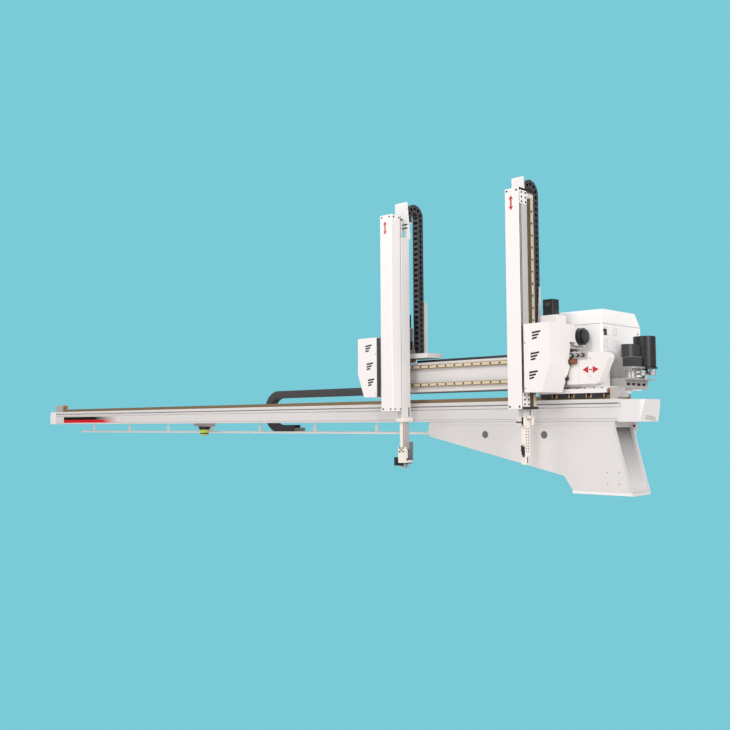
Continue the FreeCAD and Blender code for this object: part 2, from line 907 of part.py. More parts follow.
class Arm:
    """One telescopic arm and its head; a runs across the arm, towards its own head."""

    def __init__(self, name, middle, side, cover_start, column_start, bracket_range, bracket_head,
                 bridge_start, motor_start, chain_start):
        self.name = name
        self.middle = middle
        self.side = side
        self.cover_start = cover_start
        self.column_start = column_start
        self.column_end = column_start + column_width
        self.web_start = self.column_end + web_gap
        self.bracket_range = bracket_range
        self.bracket_head = bracket_head
        self.bridge_start = bridge_start
        self.motor_start = motor_start
        self.chain_range = (chain_start, chain_start + chain_width)

    def x(self, a):
        return self.middle + self.side * a

    def box(self, a_range, y_range, z_range):
        return box((self.x(a_range[0]), self.x(a_range[1])), y_range, z_range)

    def prism_z(self, corners, low, high):
        return prism([(self.x(corner[0]),) + tuple(corner[1:]) for corner in corners], "z", low, high)

    def prism_y(self, corners, front, back):
        return prism([(self.x(corner[0]),) + tuple(corner[1:]) for corner in corners], "y", front, back)

    def beam(self):
        """First stage: a box extrusion with a web behind it, and the inner guide blocks."""
        inner = half_arm - arm_cover_wall
        open_side = half_arm - arm_beam_side_gap
        front = arm_front + arm_cover_wall
        low = arm_low + end_plate_thickness
        high = arm_high - end_plate_thickness
        section = [
            (-inner, front),
            (open_side, front),
            (open_side, arm_box_back),
            (rail_seat_a, arm_box_back),
            (rail_seat_a, web_back),
            (self.web_start, web_back),
            (self.web_start, arm_box_back),
            (-inner, arm_box_back),
        ]
        body = self.prism_z(section, low, high)
        groove = self.box((open_side - 4, open_side + 1), (front + 24, front + 34), (low, high))
        core = self.box((-inner + 5, open_side - 9), (front + 5, arm_box_back - 5), (low, high))
        body = body.cut(groove).cut(core)
        guides = []
        half_rail = column_rail_width / 2
        for index in range(2):
            start = low + inner_block_low + index * (block_length + 60)
            y = (column_front + column_back) / 2
            guide = self.box((self.column_end + 1, self.web_start), (y - block_width / 2, y + block_width / 2),
                             (start, start + block_length))
            slot = self.box((self.column_end, self.column_end + column_rail_height + guide_clearance),
                            (y - half_rail - guide_clearance, y + half_rail + guide_clearance),
                            (start - 1, start + block_length + 1))
            guides.append(guide.cut(slot))
        return [body] + guides

    def cover(self):
        """A thin channel over the front and the closed side, from top to bottom."""
        section = [
            (half_arm, arm_front, 1.5),
            (half_arm, arm_front + arm_cover_wall),
            (-half_arm + arm_cover_wall, arm_front + arm_cover_wall),
            (-half_arm + arm_cover_wall, cover_back),
            (-half_arm, cover_back),
            (-half_arm, arm_front, 5),
        ]
        return self.prism_z(section, arm_low, arm_high)

    def rail(self):
        """The rail on the web, towards the head."""
        seat = self.x(rail_seat_a)
        length = (arm_low + end_plate_thickness, arm_high - arm_rail_top_gap)
        return rail_with_holes(length, arm_rail_y, seat, self.side, "z")

    def end_plates(self):
        """Dark plates that close both ends of the first stage."""
        plates = []
        inner = half_arm - arm_cover_wall
        section = [
            (-inner, arm_front + arm_cover_wall),
            (half_arm + 1, arm_front + arm_cover_wall),
            (half_arm + 1, web_back),
            (self.web_start, web_back),
            (self.web_start, arm_box_back),
            (-inner, arm_box_back),
        ]
        for low in (arm_low, arm_high - end_plate_thickness):
            plates.append(self.prism_z(section, low, low + end_plate_thickness))
        return plates

    def pulley_blocks(self):
        """Blocks that hold the belt's pulleys, on the open side."""
        open_side = half_arm - arm_beam_side_gap
        blocks = []
        gap = end_plate_thickness
        for low in (arm_low + gap, arm_high - gap - pulley_block_height):
            block = self.prism_z(
                [
                    (open_side, arm_front + arm_cover_wall + 4),
                    (open_side + pulley_block_thickness, arm_front + arm_cover_wall + 4, 2),
                    (open_side + pulley_block_thickness, arm_box_back, 2),
                    (open_side, arm_box_back),
                ],
                low, low + pulley_block_height)
            blocks.append(block)
        return blocks

    def column(self):
        """Second stage: a tube with its own guide rail, and a slot near its foot."""
        start = self.column_start
        end = self.column_end
        section = [
            (start, column_front, 2),
            (end, column_front, 2),
            (end, column_back, 2),
            (start, column_back, 2),
        ]
        tube = self.prism_z(section, column_low, column_high)
        hollow = self.box((start + column_wall, end - column_wall),
                          (column_front + column_wall, column_back - column_wall), (column_low, column_high))
        y = (column_front + column_back) / 2
        half_rail = column_rail_width / 2
        rail = self.box((end, end + column_rail_height), (y - half_rail, y + half_rail),
                        (column_low + 30, column_high))
        slot = self.box((start - 1, end + 1), (column_back - 20, column_back - 8),
                        (column_low + 4, column_low + 4 + column_slot_height))
        return [tube.cut(hollow).cut(slot), rail]

    def top_bracket(self):
        """The folded plate above the column that holds the chain's end."""
        high = arm_high + bracket_top_rise
        front = column_back
        back = bracket_back_y
        low = column_high - bracket_overlap
        step = arm_high - bracket_step
        first, last = self.bracket_head
        foot = self.box(self.bracket_range, (front, back), (low, step))
        shelf_z = chain_bend_z - chain_arm_run
        head = self.prism_y(
            [
                (first, low if self.side < 0 else step - bracket_step),
                (last, low if self.side < 0 else step - bracket_step),
                (last, high, 3),
                (first, high, 3),
            ],
            front, back)
        edge = last if self.side > 0 else first
        inward = -1 if self.side > 0 else 1
        window = [edge + inward * bracket_window_margin, edge + inward * (bracket_window_margin + bracket_window_width)]
        window_low = column_high + 9
        cuts = [self.box(window, (front - 1, back + 1), (window_low, window_low + bracket_window_height))]
        window[0] += inward * bracket_window_margin / 2
        for lift in (14, 40):
            level = window_low + bracket_window_height + lift
            cuts.append(self.box(window, (front - 1, back + 1), (level, level + 8)))
        plate = head
        if self.side < 0:
            plate = plate.cut(Part.makeCompound(cuts))
        flange = prism(
            [
                (front, window_low),
                (back + bracket_flange, window_low),
                (back + 2, high - 3),
                (front, high - 3),
            ],
            "x", self.x(edge), self.x(edge + inward * 4))
        if self.side > 0:
            flange = flange.common(box((self.x(edge), self.x(edge + inward * 4)), (front, back + bracket_flange),
                                       (step - bracket_step, high)))
        seat = self.box((self.column_start, self.column_end), (column_front + 6, back), (column_high, column_high + 4))
        shelf = self.box(self.chain_range, (front, chain_run_front + chain_height), (shelf_z - 6, shelf_z))
        return fused([plate, foot.cut(Part.makeCompound(cuts)), flange, seat, shelf])

    def chain(self):
        """Arm-side run, bend and head-side run of the energy chain."""
        a_range = self.chain_range
        x_range = sorted((self.x(a_range[0]), self.x(a_range[1])))
        arm_run = self.box(a_range, (chain_run_front, chain_run_front + chain_height),
                           (chain_bend_z - chain_arm_run, chain_bend_z))
        bend = ring_half((chain_centre_y, chain_bend_z), chain_outer_radius, chain_inner_radius,
                         "x", x_range, "below")
        head_run = self.box(a_range, (head_run_back - chain_height, head_run_back), (bridge_top, chain_bend_z))
        return arm_run, bend, head_run

    def head_bracket(self):
        """The head's back plate, side plate, bridge over the beam and chain tray."""
        reach = head_plate_reach
        front = head_back - head_back_plate
        back = self.box((block_back_a, reach), (front, head_back), (head_low, head_high))
        side_end = max(block_back_a + head_plate, self.cover_start + 6)
        side = self.box((block_back_a, side_end), (head_cover_front + head_cover_wall, head_back),
                        (head_low, head_high))
        bridge = self.box((self.bridge_start, self.motor_start), (kick_face - 16, kick_back - 6),
                          (bridge_low, bridge_top))
        link = self.box((block_back_a, reach), (front, kick_face - 16), (bridge_low, bridge_top))
        mount = self.box((self.motor_start - kick_motor_plate, self.motor_start),
                         (kick_motor_y - kick_motor_flange / 2, kick_motor_y + kick_motor_flange / 2),
                         (bridge_low, kick_motor_z + kick_motor_flange / 2))
        tray_y = head_run_back + chain_tray_gap
        tray_start = self.chain_range[0] + chain_tray_shift
        if self.side < 0:
            tray_start = self.chain_range[0] - chain_tray_width / 2 - 2 * chain_tray_shift
        tray = self.box((tray_start, tray_start + chain_tray_width), (tray_y, tray_y + chain_tray_plate),
                        (bridge_top, bridge_top + chain_tray_height))
        return fused([back, side, bridge, link, mount, tray])

    def head_blocks(self):
        """Guide blocks on the kick rails and on the arm's rail."""
        blocks = []
        start_a = block_back_a + 2
        for z in kick_rail_heights:
            outer = self.box((start_a, start_a + block_length), (kick_face - 5, head_back),
                             (z - block_width / 2, z + block_width / 2))
            slot = self.box((start_a - 1, start_a + block_length + 1), (kick_face, kick_rail_front - guide_clearance),
                            (z - rail_width / 2 - guide_clearance, z + rail_width / 2 + guide_clearance))
            blocks.append(outer.cut(slot))
        for low in (head_low + 12, head_high - 12 - block_length):
            outer = self.box((rail_seat_a + 5, block_back_a), (arm_rail_y - block_width / 2, arm_rail_y + block_width / 2),
                             (low, low + block_length))
            slot = self.box((rail_seat_a, rail_seat_a + rail_height + guide_clearance),
                            (arm_rail_y - rail_width / 2 - guide_clearance, arm_rail_y + rail_width / 2 + guide_clearance),
                            (low - 1, low + block_length + 1))
            blocks.append(outer.cut(slot))
        return blocks

    def head_cover(self):
        """The moulded cover beside the arm, chamfered below and hooded above the beam."""
        start = self.cover_start
        end = start + head_cover_width
        corners = [
            (start, head_cover_low),
            (end - head_cover_chamfer_width, head_cover_low),
            (end, head_cover_low + head_cover_chamfer_height),
            (end, head_cover_high),
            (start, head_cover_high),
        ]
        inner = inset(corners, head_cover_wall)
        front = head_cover_front
        back = kick_rail_front - head_cover_back_gap
        shell = self.prism_y(corners, front, back)
        shell = shell.cut(self.prism_y(inner, front + head_cover_wall, back + 1))
        open_side = self.box((start - 1, start + head_cover_wall + 0.1), (front + head_cover_wall, back + 1),
                             (head_cover_low - 1, head_cover_high + 1))
        shell = shell.cut(open_side)
        hood = self.box((start + head_cover_wall, end), (back, back + hood_reach), (hood_low, head_cover_high))
        hood = hood.cut(self.box((start, end - head_cover_wall), (back - 1, back + hood_reach - head_cover_wall),
                                 (hood_low - 1, head_cover_high - head_cover_wall)))
        hood = hood.cut(self.box((start, end - head_cover_wall), (back - 1, back + hood_reach + 1),
                                 (hood_low - 1, head_cover_high - 34)))
        return fused([shell, hood])

    def head_motors(self):
        """The lift servo on top and the kick servo over the beam."""
        y = head_back - head_back_plate + lift_motor_width / 2 - 2
        a = lift_motor_start + lift_motor_width / 2
        low = head_cover_high
        lift = self.prism_z(
            [
                (a - lift_motor_width / 2, y - lift_motor_width / 2, 6),
                (a + lift_motor_width / 2, y - lift_motor_width / 2, 6),
                (a + lift_motor_width / 2, y + lift_motor_width / 2, 6),
                (a - lift_motor_width / 2, y + lift_motor_width / 2, 6),
            ],
            low, low + lift_motor_height)
        kick_y = kick_motor_y
        kick_z = kick_motor_z
        half = kick_motor_flange / 2 - 1
        steps = (0.4, 0.8, 1)
        ends = [self.motor_start + kick_motor_length * step for step in steps]
        flange = self.box((self.motor_start, ends[0]), (kick_y - half, kick_y + half), (kick_z - half, kick_z + half))
        barrel = cylinder(kick_motor_radius, (self.x(ends[0]), kick_y, kick_z), (self.side, 0, 0), ends[1] - ends[0])
        rear = cylinder(kick_motor_radius * 0.8, (self.x(ends[1]), kick_y, kick_z), (self.side, 0, 0),
                        ends[2] - ends[1])
        kick = fused([flange, barrel, rear])
        return lift, kick


def wrist_flange(arm, height):
    """The block at the foot of a column."""
    a = (arm.column_start + arm.column_end) / 2
    y = (column_front + column_back) / 2
    corners = [
        (a - flange_width / 2, y - flange_depth / 2, 5),
        (a + flange_width / 2, y - flange_depth / 2, 5),
        (a + flange_width / 2, y + flange_depth / 2, 5),
        (a - flange_width / 2, y + flange_depth / 2, 5),
    ]
    return arm.prism_z(corners, column_low - height, column_low), a, y


def main_wrist(arm):
    """Flange with a fork, and the bar that flips on a pin through it."""
    flange, a, y = wrist_flange(arm, main_flange_height)
    low = column_low - main_flange_height
    pin_z = low + flip_pin_drop - 8
    fork_room = arm.box((a - flange_width / 2 - 1, a + flange_width / 2 + 1),
                        (y - flip_bar_depth / 2 - fork_gap, y + flip_bar_depth / 2 + fork_gap), (low - 1, pin_z + 16))
    flange = flange.cut(fork_room)
    pin = cylinder(flip_pin_radius, (arm.x(a), y - flange_depth / 2 - 5, pin_z), (0, 1, 0), flange_depth + 10)
    flange = fused([flange, pin])
    bar = arm.prism_y(
        [
            (a - flip_bar_width / 2, pin_z + flip_bar_width / 2, flip_bar_width / 2 - 0.01),
            (a + flip_bar_width / 2, pin_z + flip_bar_width / 2, flip_bar_width / 2 - 0.01),
            (a + flip_bar_width / 2, pin_z - flip_bar_length),
            (a - flip_bar_width / 2, pin_z - flip_bar_length),
        ],
        y - flip_bar_depth / 2, y + flip_bar_depth / 2)
    bore = cylinder(flip_pin_radius + 0.05, (arm.x(a), y - flip_bar_depth, pin_z), (0, 1, 0), 2 * flip_bar_depth)
    bar = bar.cut(bore)
    bar_low = pin_z - flip_bar_length
    tip = arm.box((a - flip_bar_width / 2, a + flip_bar_width / 2), (y - flip_bar_depth / 2, y - flip_tip_split),
                  (bar_low - flip_tip_length, bar_low + 1))
    heel = arm.box((a - flip_bar_width / 2 + 3, a + flip_bar_width / 2 - 3), (y - flip_tip_split, y + flip_tip_split),
                   (bar_low - flip_tip_length + 4, bar_low + 1))
    bar = fused([bar, tip, heel])
    centre_z = pin_z - flip_bar_length / 2 - 10
    for dy in (-eoat_pitch_y / 2, eoat_pitch_y / 2):
        for dz in (-eoat_pitch_z / 2, eoat_pitch_z / 2):
            hole = cylinder(eoat_hole_radius, (arm.x(a) - flip_bar_width, y + dy, centre_z + dz), (1, 0, 0),
                            2 * flip_bar_width)
            bar = bar.cut(hole)
    return flange, bar


def sub_gripper(arm):
    """Flange, hanging bar, gripper body and its two fingers."""
    flange, a, y = wrist_flange(arm, sub_flange_height)
    low = column_low - sub_flange_height
    bar = arm.box((a - hanger_bar_width / 2, a + hanger_bar_width / 2),
                  (y - hanger_bar_depth / 2, y + hanger_bar_depth / 2), (low - hanger_bar_length, low))
    bar_front = y - hanger_bar_depth / 2
    bar_back = y + hanger_bar_depth / 2
    plate_middle = a - gripper_shift
    body_high = low - hanger_bar_length + gripper_overlap
    body_low = body_high - gripper_height
    face = arm.prism_y(
        [
            (plate_middle - gripper_width / 2, body_low, 3),
            (plate_middle + gripper_width / 2, body_low, 3),
            (plate_middle + gripper_width / 2, body_high, 3),
            (plate_middle - gripper_width / 2, body_high, 3),
        ],
        bar_front - gripper_plate, bar_front)
    bar_low = low - hanger_bar_length
    side_a = a - hanger_bar_width / 2
    floor_plate = arm.box((side_a - gripper_side_reach, side_a + hanger_bar_width), (bar_front, bar_back + gripper_back_plate),
                          (body_low, body_low + gripper_plate))
    post = cylinder(hanger_bar_width / 2 - 1, (arm.x(side_a + 4), y, body_low + gripper_plate), (0, 0, 1),
                    bar_low - body_low - gripper_plate)
    rear = arm.box((side_a - gripper_side_reach, side_a + hanger_bar_width), (bar_back, bar_back + gripper_back_plate),
                   (body_low, bar_low + gripper_back_rise))
    pad_high = body_low + gripper_overlap
    pad = arm.box((side_a, side_a + pad_plate_width), (bar_front - pad_plate_thickness, bar_front + 1),
                  (pad_high - pad_plate_height, pad_high))
    body = fused([face, floor_plate, post, rear, pad])
    fingers = []
    for direction in (-1, 1):
        inner = y + direction * (finger_gap / 2 + finger_travel)
        outer = inner + direction * finger_thickness
        fingers.append(arm.box((a - finger_width / 2, a + finger_width / 2), (inner, outer),
                               (body_low - guide_clearance - finger_length, body_low - guide_clearance)))
    return flange, bar, body, fingers


def build():
    """Make every node of the robot."""
    os.makedirs("parts", exist_ok=True)
    export("pedestal", pedestal())
    export("traverse_beam", traverse_beam())
    export("traverse_rails", *traverse_rails())
    export("drive_rack", drive_rack())
    export("left_end_cap", left_end_cap())
    export("right_end_cover", right_end_cover())
    export("end_stops", *end_stops())
    export("stop_bumpers", *stop_bumpers())
    export("chain_hangers", chain_hangers())
    base, dome = beacon()
    export("beacon_base", base)
    export("beacon_lens", dome)

    upper, bend, lower, chain_y, chain_top = traverse_chain()
    export("traverse_chain_upper", upper)
    export("traverse_chain_bend", bend)
    export("traverse_chain_lower", lower)

    export("carriage_plate", carriage_plate_shape(chain_y, chain_top))
    export("guide_blocks", *guide_blocks())
    bumper_y = beam_front + stop_depth / 2
    export("carriage_bumper", cylinder(bumper_radius - 2, (carriage_left, bumper_y, carriage_low + carriage_plate / 2),
                                       (-1, 0, 0), 10))
    export("kick_beam", kick_beam())
    export("kick_rails", *kick_rails())
    export("kick_end_cover", kick_end_cover())
    export("cable_duct", box((-kick_left + duct_inset, -kick_rail_right - 20), (kick_back - duct_depth, kick_back - 4),
                             (kick_top, kick_top + duct_height)))
    export("control_cabinet", control_cabinet())
    bracket, gearbox, servo, tank = drive_unit()
    export("motor_bracket", bracket)
    export("traverse_gearbox", gearbox)
    export("traverse_servo", servo)
    export("air_reservoir", tank)

    arms = (
        Arm("main", main_arm_x, 1, head_cover_start_main, column_start_main, bracket_range_main, bracket_head_main,
            bridge_start_main, kick_motor_start_main, chain_start_main),
        Arm("sub", sub_arm_x, -1, head_cover_start_sub, column_start_sub, bracket_range_sub, bracket_range_sub,
            bridge_start_sub, kick_motor_start_sub, chain_start_sub),
    )
    for arm in arms:
        export(f"{arm.name}_head_bracket", arm.head_bracket())
        export(f"{arm.name}_head_blocks", *arm.head_blocks())
        export(f"{arm.name}_head_cover", arm.head_cover())
        export(f"{arm.name}_head_motors", *arm.head_motors())
        export(f"{arm.name}_arm_beam", *arm.beam())
        export(f"{arm.name}_arm_cover", arm.cover())
        export(f"{arm.name}_arm_rail", arm.rail())
        export(f"{arm.name}_arm_end_plates", *arm.end_plates())
        export(f"{arm.name}_pulley_blocks", *arm.pulley_blocks())
        export(f"{arm.name}_column", *arm.column())
        export(f"{arm.name}_top_bracket", arm.top_bracket())
        arm_run, bend, head_run = arm.chain()
        export(f"{arm.name}_chain_arm_run", arm_run)
        export(f"{arm.name}_chain_bend", bend)
        export(f"{arm.name}_chain_head_run", head_run)

    flange, bar = main_wrist(arms[0])
    export("main_wrist_flange", flange)
    export("flip_bar", bar)
    flange, bar, body, fingers = sub_gripper(arms[1])
    export("sub_wrist_flange", flange, bar)
    export("gripper_body", body)
    export("gripper_finger_front", fingers[0])
    export("gripper_finger_rear", fingers[1])


build()
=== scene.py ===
import math

import bmesh
import bpy
import numpy as np
from mathutils import Matrix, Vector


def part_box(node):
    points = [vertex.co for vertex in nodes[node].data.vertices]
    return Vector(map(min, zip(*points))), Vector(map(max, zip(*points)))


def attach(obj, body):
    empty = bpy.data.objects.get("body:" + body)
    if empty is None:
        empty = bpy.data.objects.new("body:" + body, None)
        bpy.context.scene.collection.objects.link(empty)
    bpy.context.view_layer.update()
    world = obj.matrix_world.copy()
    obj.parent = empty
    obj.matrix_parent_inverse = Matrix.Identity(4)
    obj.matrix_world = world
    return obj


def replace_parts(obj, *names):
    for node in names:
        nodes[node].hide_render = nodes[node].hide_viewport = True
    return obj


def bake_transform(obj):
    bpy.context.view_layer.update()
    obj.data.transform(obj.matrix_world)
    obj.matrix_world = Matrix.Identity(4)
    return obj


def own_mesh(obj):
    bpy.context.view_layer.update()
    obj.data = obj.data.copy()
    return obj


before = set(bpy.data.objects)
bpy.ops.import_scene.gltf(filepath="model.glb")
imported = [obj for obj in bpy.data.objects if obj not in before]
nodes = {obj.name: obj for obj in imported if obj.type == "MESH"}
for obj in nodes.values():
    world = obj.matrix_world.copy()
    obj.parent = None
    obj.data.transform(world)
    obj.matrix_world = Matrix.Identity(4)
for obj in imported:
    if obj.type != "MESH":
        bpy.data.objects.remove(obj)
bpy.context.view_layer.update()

# Camera: the photograph's place and viewing angle, metres and degrees
CAMERA_PLACE = (2.304, -4.100, 0.354)
CAMERA_YAW = 43.875
CAMERA_PITCH = 3.457
CAMERA_ROLL = 0.38
CAMERA_LENS = 46.36

# Arms: middle across the arm, and the side its head is on
ARMS = {
    "main": {"middle": -0.338, "side": 1},
    "sub": {"middle": -1.180, "side": -1},
}
STROKE = 0.65
TRAVERSE_ROLL = 2.225
LINK_PITCH = 0.0295
TRAVERSE_LINK_PITCH = 0.038

# Chain links: the crossbars' place in the link's height, and how far a pin mark stands out
CROSSBAR_LOW = 0.0004
CROSSBAR_HIGH = 0.0035
PIN_MARK = 0.0006

# Printed marks: their thickness, and how far they reach behind the face
SKIN = 0.0008
PRINT_BACK = 0.0001

# Screws of the arm covers
COVER_SCREW = 0.0052
COVER_SCREW_HEIGHT = 0.0017
COVER_SCREW_SINK = 0.0012

# Lift motors: their middle beside the arm's, their place across it, and half their width
MOTOR_ASIDE = 0.083
MOTOR_Y = -0.1
MOTOR_HALF = 0.0302

RAIL_PITCH = 0.06
FOOT_HALF = 0.157

# Chain hangers and the rod that joins them
ROD_BACK = 0.004
ROD_RISE = 0.008
ROD_SLEEVE = 0.0075
HANGERS = 7
HANGER_FIRST = -4.943
HANGER_SPACING = 0.552
HANGER_HALF = 0.010

BACKDROP = (0.195, 0.591, 0.686)

# Grain of the extrusions, drawn out along X or Z
GRAIN_X = (0.2, 6, 6)
GRAIN_Z = (6, 6, 0.2)


def corner(node, which):
    """One corner of a CAD node's box: 0 lowest, 1 highest, as an array."""
    return np.array(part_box(node)[which])


def box(low, high):
    """A box between two corners, as (vertices, faces)."""
    low, high = np.minimum(low, high), np.maximum(low, high)
    picks = np.array([[i, j, k] for i in (0, 1) for j in (0, 1) for k in (0, 1)])
    verts = low + (high - low) * picks
    faces = [(0, 1, 3, 2), (4, 6, 7, 5), (0, 4, 5, 1), (2, 3, 7, 6), (0, 2, 6, 4), (1, 5, 7, 3)]
    return verts, faces


def extrude(outline, axis, low, high):
    """A flat outline carried along axis 0, 1 or 2, from low to high; the outline's axes keep their order."""
    flat = np.array(outline, float)
    count = len(flat)
    verts = np.zeros((2 * count, 3))
    others = [i for i in range(3) if i != axis]
    verts[:count, others] = flat
    verts[count:, others] = flat
    verts[:count, axis] = low
    verts[count:, axis] = high
    ring = range(count)
    faces = [(i, (i + 1) % count, count + (i + 1) % count, count + i) for i in ring]
    faces += [tuple(reversed(ring)), tuple(count + i for i in ring)]
    return verts, faces


def disc(centre, axis, radius, low, high, sides=24, start=0.0):
    """A round bar along axis through centre, from low to high on that axis."""
    turn = np.arange(sides) * 2 * math.pi / sides + start
    others = [i for i in range(3) if i != axis]
    centre = np.array(centre, float)
    outline = np.column_stack([np.cos(turn), np.sin(turn)]) * radius + centre[others]
    return extrude(outline, axis, low, high)


def lathe(centre, axis, profile, sides=40):
    """A surface of revolution: profile rows are (radius, place along axis)."""
    profile = np.array(profile, float)
    turn = np.arange(sides) * 2 * math.pi / sides
    others = [i for i in range(3) if i != axis]
    centre = np.array(centre, float)
    verts = np.zeros((len(profile), sides, 3))
    verts[:, :, others[0]] = profile[:, :1] * np.cos(turn) + centre[others[0]]
    verts[:, :, others[1]] = profile[:, :1] * np.sin(turn) + centre[others[1]]
    verts[:, :, axis] = profile[:, 1:] + centre[axis]
    faces = []
    for row in range(len(profile) - 1):
        base = row * sides
        faces += [(base + i, base + (i + 1) % sides, base + sides + (i + 1) % sides, base + sides + i)
                  for i in range(sides)]
    faces.append(tuple(range(sides))[::-1])
    faces.append(tuple((len(profile) - 1) * sides + i for i in range(sides)))
    return verts.reshape(-1, 3), faces


def make(name, parts, material, body=None, smooth=35):
    """One object from several (vertices, faces) parts; it rides on body."""
    verts = np.concatenate([part[0] for part in parts])
    starts = np.cumsum([0] + [len(part[0]) for part in parts])
    faces = [tuple(start + i for i in face) for part, start in zip(parts, starts) for face in part[1]]
    mesh = bpy.data.meshes.new(name)
    mesh.from_pydata(verts.tolist(), [], faces)
    mesh.validate()
    mesh.materials.append(material)
    obj = bpy.data.objects.new(name, mesh)
    bpy.context.scene.collection.objects.link(obj)
    set_normals(mesh, smooth)
    if body:
        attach(obj, body)
    return obj


def set_normals(mesh, angle):
    """Outward normals, smooth below an angle in degrees."""
    work = bmesh.new()
    work.from_mesh(mesh)
    bmesh.ops.recalc_face_normals(work, faces=work.faces)
    work.to_mesh(mesh)
    work.free()
    mesh.shade_smooth()
    mesh.set_sharp_from_angle(angle=math.radians(angle))


def surface(name, colour, roughness=0.4, metallic=0.0, grain=0.02, bump=0.02, scale=60.0, edge=0.0012,
            stretch=(1, 1, 1), coat=0.0):
    """A real material: a colour that varies slightly, a fine bump and softened edges."""
    material = bpy.data.materials.new(name)
    material.use_nodes = True
    tree = material.node_tree
    shader = tree.nodes["Principled BSDF"]
    shader.inputs["Metallic"].default_value = metallic
    shader.inputs["Coat Weight"].default_value = coat
    place = tree.nodes.new("ShaderNodeTexCoord")
    mapping = tree.nodes.new("ShaderNodeMapping")
    mapping.inputs["Scale"].default_value = stretch
    tree.links.new(place.outputs["Object"], mapping.inputs["Vector"])
    noise = tree.nodes.new("ShaderNodeTexNoise")
    noise.inputs["Scale"].default_value = scale
    noise.inputs["Detail"].default_value = 4
    tree.links.new(mapping.outputs["Vector"], noise.inputs["Vector"])
    ramp = tree.nodes.new("ShaderNodeMix")
    ramp.data_type = "RGBA"
    dark = [max(0.0, value * (1 - 4 * grain)) for value in colour]
    ramp.inputs["A"].default_value = (*dark, 1)
    ramp.inputs["B"].default_value = (*[min(1.0, value * (1 + grain)) for value in colour], 1)
    tree.links.new(noise.outputs["Fac"], ramp.inputs["Factor"])
    tree.links.new(ramp.outputs["Result"], shader.inputs["Base Color"])
    span = tree.nodes.new("ShaderNodeMapRange")
    span.inputs["To Min"].default_value = max(0.03, roughness - 0.08)
    span.inputs["To Max"].default_value = roughness + 0.08
    tree.links.new(noise.outputs["Fac"], span.inputs["Value"])
    tree.links.new(span.outputs["Result"], shader.inputs["Roughness"])
    height = tree.nodes.new("ShaderNodeBump")
    height.inputs["Strength"].default_value = bump
    height.inputs["Distance"].default_value = 0.0008
    tree.links.new(noise.outputs["Fac"], height.inputs["Height"])
    if edge:
        soft = tree.nodes.new("ShaderNodeBevel")
        soft.inputs["Radius"].default_value = edge
        soft.samples = 4
        tree.links.new(soft.outputs["Normal"], height.inputs["Normal"])
    tree.links.new(height.outputs["Normal"], shader.inputs["Normal"])
    return material


def fading(name, colour, start, end, far=(0.70, 0.675, 0.665), axis="X"):
    """A colour that goes over from colour at start to far at end, along one axis: fading print on the beam's
    stripes, and painted shade on the pedestal's end panel.
    """
    material = surface(name, colour, roughness=0.45, edge=0)
    tree = material.node_tree
    shader = tree.nodes["Principled BSDF"]
    shader.inputs["Specular IOR Level"].default_value = 0.08
    place = tree.nodes.new("ShaderNodeTexCoord")
    split = tree.nodes.new("ShaderNodeSeparateXYZ")
    tree.links.new(place.outputs["Object"], split.inputs["Vector"])
    span = tree.nodes.new("ShaderNodeMapRange")
    span.inputs["From Min"].default_value = start
    span.inputs["From Max"].default_value = end
    tree.links.new(split.outputs[axis], span.inputs["Value"])
    blend = tree.nodes.new("ShaderNodeMix")
    blend.data_type = "RGBA"
    blend.inputs["A"].default_value = (*colour, 1)
    blend.inputs["B"].default_value = (*far, 1)
    tree.links.new(span.outputs["Result"], blend.inputs["Factor"])
    tree.links.new(blend.outputs["Result"], shader.inputs["Base Color"])
    return material


WHITE = surface("white_paint", (0.80, 0.785, 0.78), 0.40, scale=220, bump=0.05)
PEDESTAL = surface("pedestal_paint", (0.67, 0.645, 0.635), 0.42, scale=160, bump=0.06)
# Painted light: a lighter white for the hangers, the rod, the cabinet and the far chain plate, which lie in
# shade.
LIT_WHITE = surface("lit_white_paint", (0.93, 0.92, 0.91), 0.45, scale=220, bump=0.05)
PLASTIC = surface("white_plastic", (0.815, 0.775, 0.76), 0.42, scale=420, bump=0.06)
# Painted shade: a darker copy of the white plastic for the right end cover, which the fill lamp lights
# strongly.
SHADED_SHELL = surface("end_shell", (0.72, 0.705, 0.70), 0.42, scale=420, bump=0.06)
ALLOY = surface("beam_alloy", (0.70, 0.675, 0.665), 0.42, metallic=0.12, scale=6, stretch=GRAIN_X,
                grain=0.008, bump=0.01)
KICK_ALLOY = surface("kick_alloy", (0.77, 0.745, 0.735), 0.42, metallic=0.12, scale=6, stretch=GRAIN_X,
                     grain=0.008, bump=0.01)
ARM_ALLOY = surface("arm_alloy", (0.75, 0.735, 0.725), 0.40, metallic=0.12, scale=6, stretch=GRAIN_Z,
                    grain=0.008, bump=0.01)
RAIL = surface("rail_steel", (0.30, 0.21, 0.11), 0.32, metallic=0.6, scale=30, stretch=(0.4, 20, 20),
               grain=0.05)
# Painted shade: the upright rails' steel is darker, as on their shaded side faces.
SHADED_RAIL_UP = surface("rail_steel_upright", (0.22, 0.17, 0.11), 0.32, metallic=0.6, scale=30,
                  stretch=(20, 20, 0.4), grain=0.05)
RAIL_FACE = surface("rail_face", (0.74, 0.62, 0.42), 0.34, metallic=0.2, scale=80, grain=0.02)
BLOCK = surface("block_steel", (0.032, 0.032, 0.034), 0.36, metallic=0.3, scale=90)
BLACK = surface("black_metal", (0.014, 0.014, 0.016), 0.36, metallic=0.1, scale=160, bump=0.08)
SERVO = surface("servo_housing", (0.045, 0.045, 0.048), 0.40, metallic=0.2, scale=160, bump=0.08)
CHAIN = surface("chain_plastic", (0.046, 0.044, 0.047), 0.50, scale=300, bump=0.12, edge=0.0008)
RUBBER = surface("bumper_rubber", (0.40, 0.13, 0.035), 0.5, scale=260, bump=0.15)
